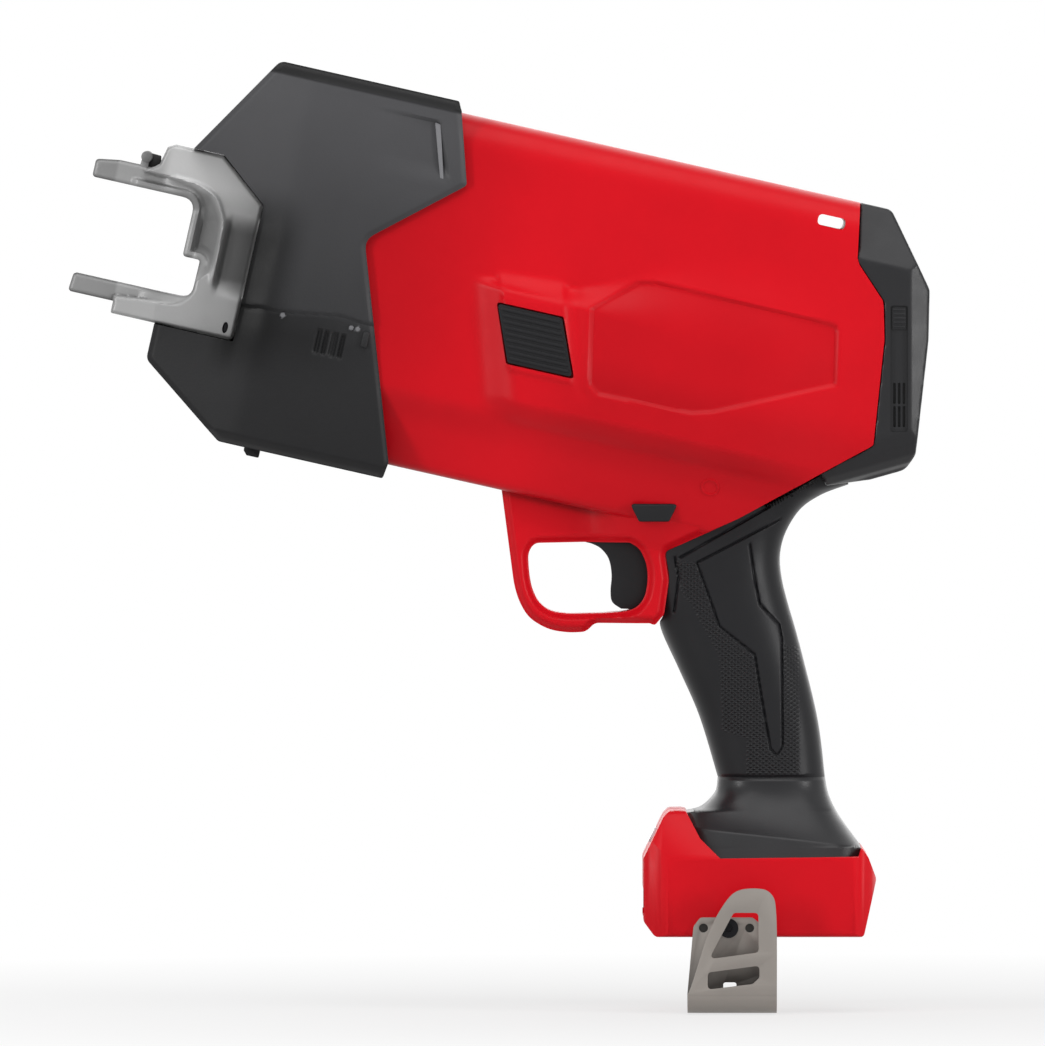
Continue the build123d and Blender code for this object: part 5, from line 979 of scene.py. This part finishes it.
def foot_half():
    """The left half of the battery foot with its slide channel."""
    foot = slab("foot_left_skin", rounded(FOOT_OUTLINE, FOOT_ROUNDS), -38, 0, place=upright)
    combine(foot, slab("face", rounded(FOOT_FACE, FOOT_FACE_ROUNDS), -60, 60, place=endwise), "INTERSECT")
    plan = rounded(FOOT_PLAN, FOOT_PLAN_ROUNDS, steps=10)
    combine(foot, slab("corners", plan, -5, 60, place=level), "INTERSECT")
    soften(foot, 0.8, 2, angle=40)
    for reach, low, high in ((29, -5, 18), (33, 9, 18)):
        combine(foot, slab("channel", oblong(-60, -reach, 36, 1), low, high, place=level))
    return foot


def counterbored(shell, core):
    """Cut the screw wells of the right half's barrel and core, and make the bosses round the barrel's screws."""
    bored(shell, BARREL_SCREWS, 26, 50)
    bored(core, CORE_SCREWS, 10, 50, place=upright)
    bosses = []
    for a, h in BARREL_SCREWS:
        radius, near, far = LOW_BOSS if h < 0 else HIGH_BOSS
        boss = slab("boss", disc(a, h, radius), near, far)
        bosses.append(soften(bored(boss, [(a, h)], 31, 40), 0.5, 2, angle=50))
    return bosses


class CUTTER_OT_housing(bpy.types.Operator):
    """Mould the two halves of the red housing"""

    bl_idname = "cutter.housing"
    bl_label = "Housing"

    def execute(self, context):
        parts = [*barrel_half(), *handle_half()]
        twins = [mirrored(part) for part in parts]
        twins += counterbored(twins[0], twins[4])
        left, right = joined("housing_left_skin", parts), joined("housing_right_skin", twins)
        for half in (left, right):
            # Painted light and shade on the red, by its rule.
            paint_shade_by(half, red_painted_shade)
        dress_twins(left, right, red_plastic(), "housing")
        return {"FINISHED"}


class CUTTER_OT_feet(bpy.types.Operator):
    """Mould the two halves of the battery foot"""

    bl_idname = "cutter.feet"
    bl_label = "Battery foot"

    def execute(self, context):
        left = foot_half()
        right = mirrored(left)
        bored(right, [FOOT_SCREW], 19, 50, place=upright)
        combine(right, slab("hook_hole", disc(*SPARE_HOLE, 2.1), 28, 45, place=upright))
        for half in (left, right):
            mark(half, "shade", 1.0)
        dress_twins(left, right, red_plastic(), "foot")
        return {"FINISHED"}


class CUTTER_OT_rear_cap(bpy.types.Operator):
    """Mould the rear bumper with its louvred vents"""

    bl_idname = "cutter.rear_cap"
    bl_label = "Rear cap"

    def execute(self, context):
        cap = slab("rear_cap_skin", rounded(CAP_OUTLINE, CAP_ROUNDS), -36, 36)
        section = [tuple(p) for p in rounded(CAP_SECTION, CAP_SECTION_ROUNDS, closed=False)]
        whole = section + [(-y, h) for y, h in reversed(section)][1:-1]
        combine(cap, slab("section", whole, 200, 330, place=barrel_end), "INTERSECT")
        combine(cap, slab("facets", rounded(CAP_FACETS, [0, 6, 0, 0, 6, 0]), 100, 360, place=level), "INTERSECT")
        for side in (-1, 1):
            combine(cap, slab("belly", [(side * y, rise) for y, rise in CAP_BELLY], -25, 60, place=under_tail))
        remeshed(cap, 0.75, 2)
        cuts, tabs = [], []
        for side in (-1, 1):
            cut = slab("panel", softened(oblong(50.4, 191.6, 57, 239.5), 1), side * 33.6, side * 40, place=upright)
            for n in range(6):
                x, z = 51.9 + 1.8 * (n % 3), 193.4 + 8.8 * (n // 3)
                vent = softened(oblong(x - 0.5, z, x + 0.5, z + 8), 0.4, steps=3)
                combine(cut, slab("vent", vent, side * 30, side * 36, place=upright), "UNION")
            cuts.append(cut)
            tab = softened(oblong(50.9, 230.4, 56.5, 238.9), 0.8)
            tabs.append(slab("tab", tab, side * 33.2, side * 34.4, place=upright))
            for n in range(5):
                rib = oblong(51.4, 231.1 + 1.6 * n, 56, 231.9 + 1.6 * n)
                tabs.append(slab("rib", rib, side * 34.2, side * 34.9, place=upright))
        combine(cap, joined("cuts", cuts))
        cap = joined("rear_cap_skin", [cap, *[soften(tab, 0.25, 2) for tab in tabs]])
        dress(cap, cap_rubber(), "frame", "rear_cap")
        return {"FINISHED"}


def under_tail(y, rise, run):
    """A place by its height over the line along the cap's belly, for an outline seen along that line."""
    return upright(26 + TAIL_RUN * run - TAIL_RISE * rise, 169.5 + TAIL_RISE * run + TAIL_RUN * rise, y)


def patch(bottom, top, left, right, u, v):
    """Points inside four border lines, for shares across and up."""
    low, high, near, far = along(bottom, u), along(top, u), along(left, v), along(right, v)
    u, v = u[:, None], v[:, None]
    corners = ((1 - u) * (1 - v) * np.array(bottom[0]) + u * (1 - v) * np.array(bottom[-1])
               + (1 - u) * v * np.array(top[0]) + u * v * np.array(top[-1]))
    return (1 - v) * low + v * high + (1 - u) * near + u * far - corners


def oval_half(x, ahead, behind, half, power):
    """Half the width of an oval section at x, between its front and back."""
    swing = np.clip(np.abs(2 * (x - ahead) / (behind - ahead) - 1), 0, 1)
    return half * (1 - swing ** power) ** (1 / power)


def seam_dip(away, y):
    """How far the grip and the collar are rounded in where they meet."""
    return 0.9 * (1 - ease(away / 1.3)) * ease(y / 5)


def grip_half():
    """The left grip: an oval overmould with its panel lines sunk in."""
    front, back = flowing(HANDLE_FRONT), flowing(HANDLE_BACK)
    left, right = flowing(GRIP_FRONT, 6), flowing(GRIP_BACK, 6)

    def spot(u, v, sunk=0.0):
        x, z = patch(GRIP_FOOT, GRIP_TOP, left, right, 1 - (1 - u) ** 1.35, v).T
        ahead, behind = np.interp(z, front[:, 1], front[:, 0]), np.interp(z, back[:, 1], back[:, 0])
        y = oval_half(x, ahead, behind, sizes().grip_half, OVAL)
        y = np.where((u > 0.9995) | (u < 0.0005) & (z < 116.6), 0, y)
        groove = np.min([line_distance(line, x, z) for line in GRIP_LINES], axis=0)
        y -= sunk * sizes().groove * (1 - ease(groove / 0.7)) * ease((y - 4) / 3)
        y -= sunk * seam_dip(z - COLLAR_TOP, y)
        return upright(x, z, -np.maximum(y, 0))

    grip = skin("grip_left_skin", 140, 210, spot, SOFT_WALL, even=False, relief=lambda u, v: spot(u, v, sunk=1.0))
    x, _, z = spots_of(grip)
    off_panel = 1 - ease((depth_inside(GRIP_PANEL, x, z) + 1.2) / 0.6)
    mark(grip, "knurl", ease((depth_inside(GRIP_KNURL, x, z) + 1) / 2) * off_panel)
    return grip


class CUTTER_OT_grips(bpy.types.Operator):
    """Mould the two halves of the soft grip"""

    bl_idname = "cutter.grips"
    bl_label = "Grips"

    def execute(self, context):
        left = grip_half()
        right = mirrored(left)
        bored(right, CORE_SCREWS, 10, 40, place=upright)
        dress_twins(left, right, knurled_rubber(), "grip")
        return {"FINISHED"}


def collar_half():
    """The left half of the collar that flares from the grip to a flat band round the foot."""
    left, right = flowing(COLLAR_FRONT, 6)[::-1], flowing(COLLAR_BACK, 6)[::-1]
    front, back = flowing(COLLAR_FRONT)[::-1], flowing(COLLAR_BACK)[::-1]

    def spot(u, v):
        x, z = patch(FOOT_SEAM, GRIP_FOOT, left, right, u, v).T
        ahead = np.where(z < 47.3, -27, np.interp(z, front[:, 1], front[:, 0]))
        behind = np.where(z < 34, 41, np.interp(z, back[:, 1], back[:, 0]))
        crest = 41 - (x + 24) / 9
        flare = np.clip((z - crest) / (COLLAR_TOP - crest), 0, 1)
        half = sizes().grip_half + 13.0 * (1 - flare) ** 1.9 + 0.36 * np.maximum(crest - z, 0)
        y = oval_half(x, ahead, behind, half, OVAL + 3.0 * ease((COLLAR_TOP - z) / 26))
        y = np.where(np.abs(u - 0.5) > 0.4995, 0, y)
        return upright(x, z, seam_dip(COLLAR_TOP - z, y) - y)

    return skin("collar_left_skin", 100, 80, spot, SOFT_WALL)


class CUTTER_OT_collars(bpy.types.Operator):
    """Mould the two halves of the flared collar"""

    bl_idname = "cutter.collars"
    bl_label = "Collars"

    def execute(self, context):
        left = collar_half()
        dress_twins(left, mirrored(left), cap_rubber(), "collar")
        return {"FINISHED"}


class CUTTER_OT_trigger(bpy.types.Operator):
    """Mould the trigger on its stem"""

    bl_idname = "cutter.trigger"
    bl_label = "Trigger"

    def execute(self, context):
        outline = [*flowing(TRIGGER_FRONT, 5), (-39, 123.6), (-39, 149.3)]
        trigger = slab("trigger_skin", outline, -7.5, 7.5, place=upright)
        soften(trigger, 1.6, 4, angle=50)
        stem = slab("stem", disc(0, 136, 2.5), -39.5, -24.8, place=endwise)
        dress(joined("trigger_skin", [trigger, stem]), black_plastic(), "trigger", "trigger")
        return {"FINISHED"}


class CUTTER_OT_lock_shuttle(bpy.types.Operator):
    """Mould the slider above the trigger"""

    bl_idname = "cutter.lock_shuttle"
    bl_label = "Lock slider"

    def execute(self, context):
        shuttle = slab("lock_shuttle_skin", softened(SLIDER_OUTLINE, 1.2), -27, 27, place=upright)
        soften(shuttle, 0.9, 3, angle=50)
        dress(shuttle, black_plastic(), "lock_shuttle", "lock_shuttle")
        return {"FINISHED"}


class CUTTER_OT_release_buttons(bpy.types.Operator):
    """Mould the two ribbed release buttons"""

    bl_idname = "cutter.release_buttons"
    bl_label = "Release buttons"

    def execute(self, context):
        base = slab("base", softened(BUTTON_OUTLINE, 1.2), -41.2, -37.5)
        low, high = np.array(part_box("button_spring_left")) / MM
        x, _, z = (low + high) / 2
        combine(base, slab("pocket", disc(*to_barrel(x, z), 5.6), -40.3, -36))
        parts = [soften(base, 0.5, 3, angle=50)]
        for n in range(9):
            h = 4.0 - 2.2 * n
            a = 139 + (5 - h) * 8.6 / 21
            rib = softened([(a + 1, h), (a + 24, h), (a + 24.5, h - 1.2), (a + 1.5, h - 1.2)], 0.4, steps=2)
            parts.append(soften(slab("rib", rib, -41.8, -40.9), 0.3, 2, angle=50))
        button = joined("release_button_left_skin", parts)
        right = mirrored(button)
        for piece, node in ((button, "release_button_left"), (right, "release_button_right")):
            dress(piece, black_plastic(), node, node)
        return {"FINISHED"}


def coil_spring(node, joint, turns):
    """A coil spring in the place of a CAD one, fixed to the frame and wound along the axis of a joint."""
    motion = next(row for row in frame["joints"] if row["name"] == joint)
    axis, travel = Vector(motion["axis"]), motion["range_m"][1]
    low, high = (Vector(corner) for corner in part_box(node))
    middle, length = (low + high) / 2, abs((high - low).dot(axis))
    wire, steps = SPRING_WIRE * MM, int(24 * turns)
    fresh()
    bpy.ops.mesh.primitive_circle_add(vertices=10, radius=wire, rotation=(math.pi / 2, 0, 0),
                                      location=(max(high - low) / 2 - wire, 0, wire - length / 2))
    coil = bpy.context.object
    coil.name = node + "_skin"
    bpy.ops.object.transform_apply(location=True, rotation=True, scale=True)
    shape_with(coil, "SCREW", axis="Z", angle=2 * math.pi * turns, screw_offset=length - 2 * wire,
               steps=steps, render_steps=steps)
    edit_all(coil)
    bpy.ops.mesh.fill_holes(sides=0)
    bpy.ops.mesh.normals_make_consistent(inside=False)
    pick(coil)
    coil.rotation_euler, coil.location = axis.to_track_quat("Z", "Y").to_euler(), middle
    bpy.ops.object.transform_apply(location=True, rotation=True, scale=True)
    dress(coil, inner_finish("spring"), "frame", node)
    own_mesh(coil)


class CUTTER_OT_springs(bpy.types.Operator):
    """Wind the return springs of the trigger and the buttons"""

    bl_idname = "cutter.springs"
    bl_label = "Springs"

    def execute(self, context):
        coil_spring("trigger_spring", "trigger_pull", 4.0)
        coil_spring("button_spring_left", "release_press_left", 2.5)
        coil_spring("button_spring_right", "release_press_right", 2.5)
        return {"FINISHED"}


class CUTTER_OT_belt_hook(bpy.types.Operator):
    """Stamp and bend the belt hook"""

    bl_idname = "cutter.belt_hook"
    bl_label = "Belt hook"

    def execute(self, context):
        plate = slab("belt_hook_skin", flowing(HOOK_PLATE, 4), -52.2, -50.6, place=upright)
        for window in HOOK_WINDOWS:
            combine(plate, slab("window", softened(window, 1.6), -60, -45, place=upright))
        leg = slab("leg", rounded(HOOK_LEG, HOOK_LEG_ROUNDS), -39.6, -38, place=upright)
        combine(leg, slab("window", softened(oblong(-13, -20, -8, -17), 1), -45, -30, place=upright))
        for eye in HOOK_EYES:
            combine(leg, slab("eye", disc(*eye, 1.7), -45, -30, place=upright))
        turns = np.linspace(math.pi, 2 * math.pi, 25)
        ring = [(7.09, t) for t in turns] + [(5.5, t) for t in reversed(turns)]
        ring = [(-45.1 + r * math.cos(t), -21.3 + r * math.sin(t)) for r, t in ring]
        for part in (slab("bend", ring, -26.6, 7.2, place=endwise), leg):
            combine(plate, part, "UNION")
        soften(plate, 0.35, 2, angle=40)
        # Painted shade on the leg's lower part, seen through the lower window.
        _, y, z = spots_of(plate)
        mark(plate, "shade", 1 - 0.7 * (y > -42) * ease((-8 - z) / 1.5))
        # Nearly black discs in the eye holes: painted shade.
        shade_discs = [slab("shade_disc", disc(*eye, 1.75), -38.7, -38.1, place=upright) for eye in HOOK_EYES]
        for shade_disc in shade_discs:
            mark(shade_disc, "shade", 0.08)
        dress(joined("belt_hook_skin", [plate, *shade_discs]), hook_metal(), "frame", "belt_hook")
        return {"FINISHED"}


INNER_FINISHES = {
    "screw": ("nose_screws", "housing_screws", "hook_screw", "arm_screws", "gearbox_screws"),
    "tool": ("blade", "blade_gears", "pivot_pin", "drive_rack", "drive_screw", "planet_carrier",
             "planet_gear_1", "planet_gear_2", "planet_gear_3", "sun_gear", "ring_gear", "motor_stator",
             "motor_rotor"),
    "bronze": ("pivot_bush", "drive_nut"),
    "bearing": ("screw_bearing", "planet_pins", "motor_shaft", "front_bearing", "rear_bearing"),
    "alloy": ("gearbox_housing", "gearbox_cover"),
    "copper": ("motor_windings",),
    "black": ("motor_fan", "trigger_switch", "terminal_block"),
    "board": ("control_board",),
    "brass": ("battery_contacts",),
    "lens": ("work_light",),
}

# Colour as seen on screen, and roughness.
METALS = {
    "screw": ((38, 38, 40), 0.4), "tool": ((150, 152, 156), 0.35), "bearing": ((190, 192, 196), 0.22),
    "bronze": ((168, 122, 70), 0.35), "alloy": ((170, 172, 175), 0.45), "copper": ((184, 100, 60), 0.35),
    "spring": ((175, 176, 180), 0.3), "brass": ((200, 165, 85), 0.3),
}


def inner_finish(kind):
    """The finish of a carried-over piece, a screw or a spring."""
    if kind in METALS:
        seen, rough = METALS[kind]
        return moulded(kind + "_finish", srgb(*seen), rough, grain=600.0, relief=0.12, vary=0.08, metallic=1.0)
    if kind == "black":
        return black_plastic()
    if kind == "board":
        return moulded("board_finish", srgb(24, 92, 52), 0.4, grain=800.0, relief=0.1)
    return moulded("lens_finish", srgb(214, 218, 222), 0.12, grain=500.0, relief=0.05, vary=0.02)


class CUTTER_OT_inner_works(bpy.types.Operator):
    """Give the carried-over pieces their finishes"""

    bl_idname = "cutter.inner_works"
    bl_label = "Inner works"

    def execute(self, context):
        for kind, nodes in INNER_FINISHES.items():
            for node in nodes:
                for slot in frame["nodes"][node].material_slots:
                    slot.material = inner_finish(kind)
        return {"FINISHED"}


# Studio. The picture's centre and the gap between the tool and the floor are in metres.
PHOTO_CENTRE = (-0.0891, -0.025, 0.1569)
FLOOR_GAP = 0.0005


def white_backdrop():
    """White where the camera or a reflection sees it, and a plain soft light elsewhere."""
    world = bpy.data.worlds.new("studio")
    bpy.context.scene.world = world
    tree = start_tree(world)
    strength = spread(tree, seen_directly(tree), bpy.context.scene.cutter_stage.sky, 1.0, 0.0, 1.0)
    sky = add(tree, "ShaderNodeBackground", {"Color": (1, 1, 1, 1), "Strength": strength})
    add(tree, "ShaderNodeOutputWorld", {"Surface": sky.outputs["Background"]})


def seen_directly(tree):
    """1 for rays from the camera, a mirror or glass, else 0."""
    path = add(tree, "ShaderNodeLightPath").outputs
    total = path["Is Camera Ray"]
    for name in ("Is Glossy Ray", "Is Transmission Ray"):
        total = reckoned(tree, "MAXIMUM", total, path[name])
    return total


def floor_finish():
    """Pale paper that keeps a soft shadow under the tool and turns plain white further off."""
    material = bpy.data.materials.new("floor_paper")
    tree = start_tree(material)
    paper = add(tree, "ShaderNodeBsdfDiffuse", {"Color": (0.62, 0.62, 0.62, 1)})
    glow = add(tree, "ShaderNodeEmission", {"Color": (1, 1, 1, 1), "Strength": 1.0})
    place = add(tree, "ShaderNodeTexCoord").outputs["Object"]
    away = add(tree, "ShaderNodeVectorMath", {0: place}, operation="LENGTH").outputs["Value"]
    white = reckoned(tree, "MULTIPLY", spread(tree, away, 0.7, 1.0, 0.1, 0.6), seen_directly(tree))
    mix = add(tree, "ShaderNodeMixShader", {"Fac": white, 1: paper.outputs["BSDF"], 2: glow.outputs["Emission"]})
    add(tree, "ShaderNodeOutputMaterial", {"Surface": mix.outputs["Shader"]})
    return material


def lamp(name, place, target, wide, tall, power):
    """A soft box of light aimed at a point."""
    fresh()
    bpy.ops.object.light_add(type="AREA", location=place)
    light = bpy.context.active_object
    light.name = name
    light.data.shape, light.data.size, light.data.size_y = "RECTANGLE", wide, tall
    light.data.energy = power
    aim(light, target)


def aim(thing, target):
    """Turn a lamp or camera to face a point."""
    way = np.array(target) - np.array(thing.location)
    flat = math.hypot(way[0], way[1])
    thing.rotation_euler = (math.atan2(flat, -way[2]), 0, math.atan2(-way[0], way[1]))


class CUTTER_OT_stage(bpy.types.Operator):
    """Set the floor, the lamps and the camera"""

    bl_idname = "cutter.stage"
    bl_label = "Stage"

    def execute(self, context):
        stage = context.scene.cutter_stage
        fresh()
        bpy.ops.mesh.primitive_plane_add(size=30, location=(0, 0, CAD_BOX[0][2] - FLOOR_GAP))
        floor = context.active_object
        floor.name = "floor"
        bpy.ops.object.transform_apply(location=True)
        floor.data.materials.append(floor_finish())
        white_backdrop()
        lamp("left_lamp", (-1.3, -1.0, 0.55), PHOTO_CENTRE, 0.25, 0.8, stage.left)
        lamp("right_lamp", (1.3, -0.9, 0.42), PHOTO_CENTRE, 0.4, 0.9, stage.right)
        lamp("top_lamp", (0.1, -0.9, 1.9), PHOTO_CENTRE, 1.6, 1.6, stage.top)
        lamp("back_lamp", (0.1, 1.5, 0.9), PHOTO_CENTRE, 2.0, 2.0, stage.back)
        away = stage.width * stage.lens / SENSOR
        x, y, z = PHOTO_CENTRE
        bpy.ops.object.camera_add(location=(x, y - away * math.cos(stage.rise), z + away * math.sin(stage.rise)))
        camera = context.active_object
        camera.name = "photo_camera"
        camera.data.lens = stage.lens
        aim(camera, PHOTO_CENTRE)
        context.scene.camera = camera
        context.scene.view_settings.view_transform = "Standard"
        return {"FINISHED"}


STEPS = ("jaws", "nose_covers", "housing", "feet", "rear_cap", "grips", "collars", "trigger", "lock_shuttle",
         "release_buttons", "springs", "belt_hook", "inner_works", "stage")


class CUTTER_PT_panel(bpy.types.Panel):
    """The steps that build the cutter"""

    bl_idname = "CUTTER_PT_panel"
    bl_label = "Pipe cutter"
    bl_space_type = "VIEW_3D"
    bl_region_type = "UI"
    bl_category = "Cutter"

    def draw(self, context):
        for step in STEPS:
            self.layout.operator("cutter." + step)
        for group in (context.scene.cutter_sizes, context.scene.cutter_colours, context.scene.cutter_stage):
            for name in group.__annotations__:
                self.layout.prop(group, name)


CLASSES = (CutterSizes, CutterColours, CutterStage, CUTTER_OT_jaws, CUTTER_OT_nose_covers, CUTTER_OT_housing,
           CUTTER_OT_feet, CUTTER_OT_rear_cap, CUTTER_OT_grips, CUTTER_OT_collars, CUTTER_OT_trigger,
           CUTTER_OT_lock_shuttle, CUTTER_OT_release_buttons, CUTTER_OT_springs, CUTTER_OT_belt_hook,
           CUTTER_OT_inner_works, CUTTER_OT_stage, CUTTER_PT_panel)


def register():
    for cls in CLASSES:
        bpy.utils.register_class(cls)
    bpy.types.Scene.cutter_sizes = PointerProperty(type=CutterSizes)
    bpy.types.Scene.cutter_colours = PointerProperty(type=CutterColours)
    bpy.types.Scene.cutter_stage = PointerProperty(type=CutterStage)


def unregister():
    del bpy.types.Scene.cutter_stage, bpy.types.Scene.cutter_colours, bpy.types.Scene.cutter_sizes
    for cls in reversed(CLASSES):
        bpy.utils.unregister_class(cls)


def main():
    """Build every piece in order."""
    register()
    for step in STEPS:
        getattr(bpy.ops.cutter, step)()


if __name__ == "__main__":
    main()
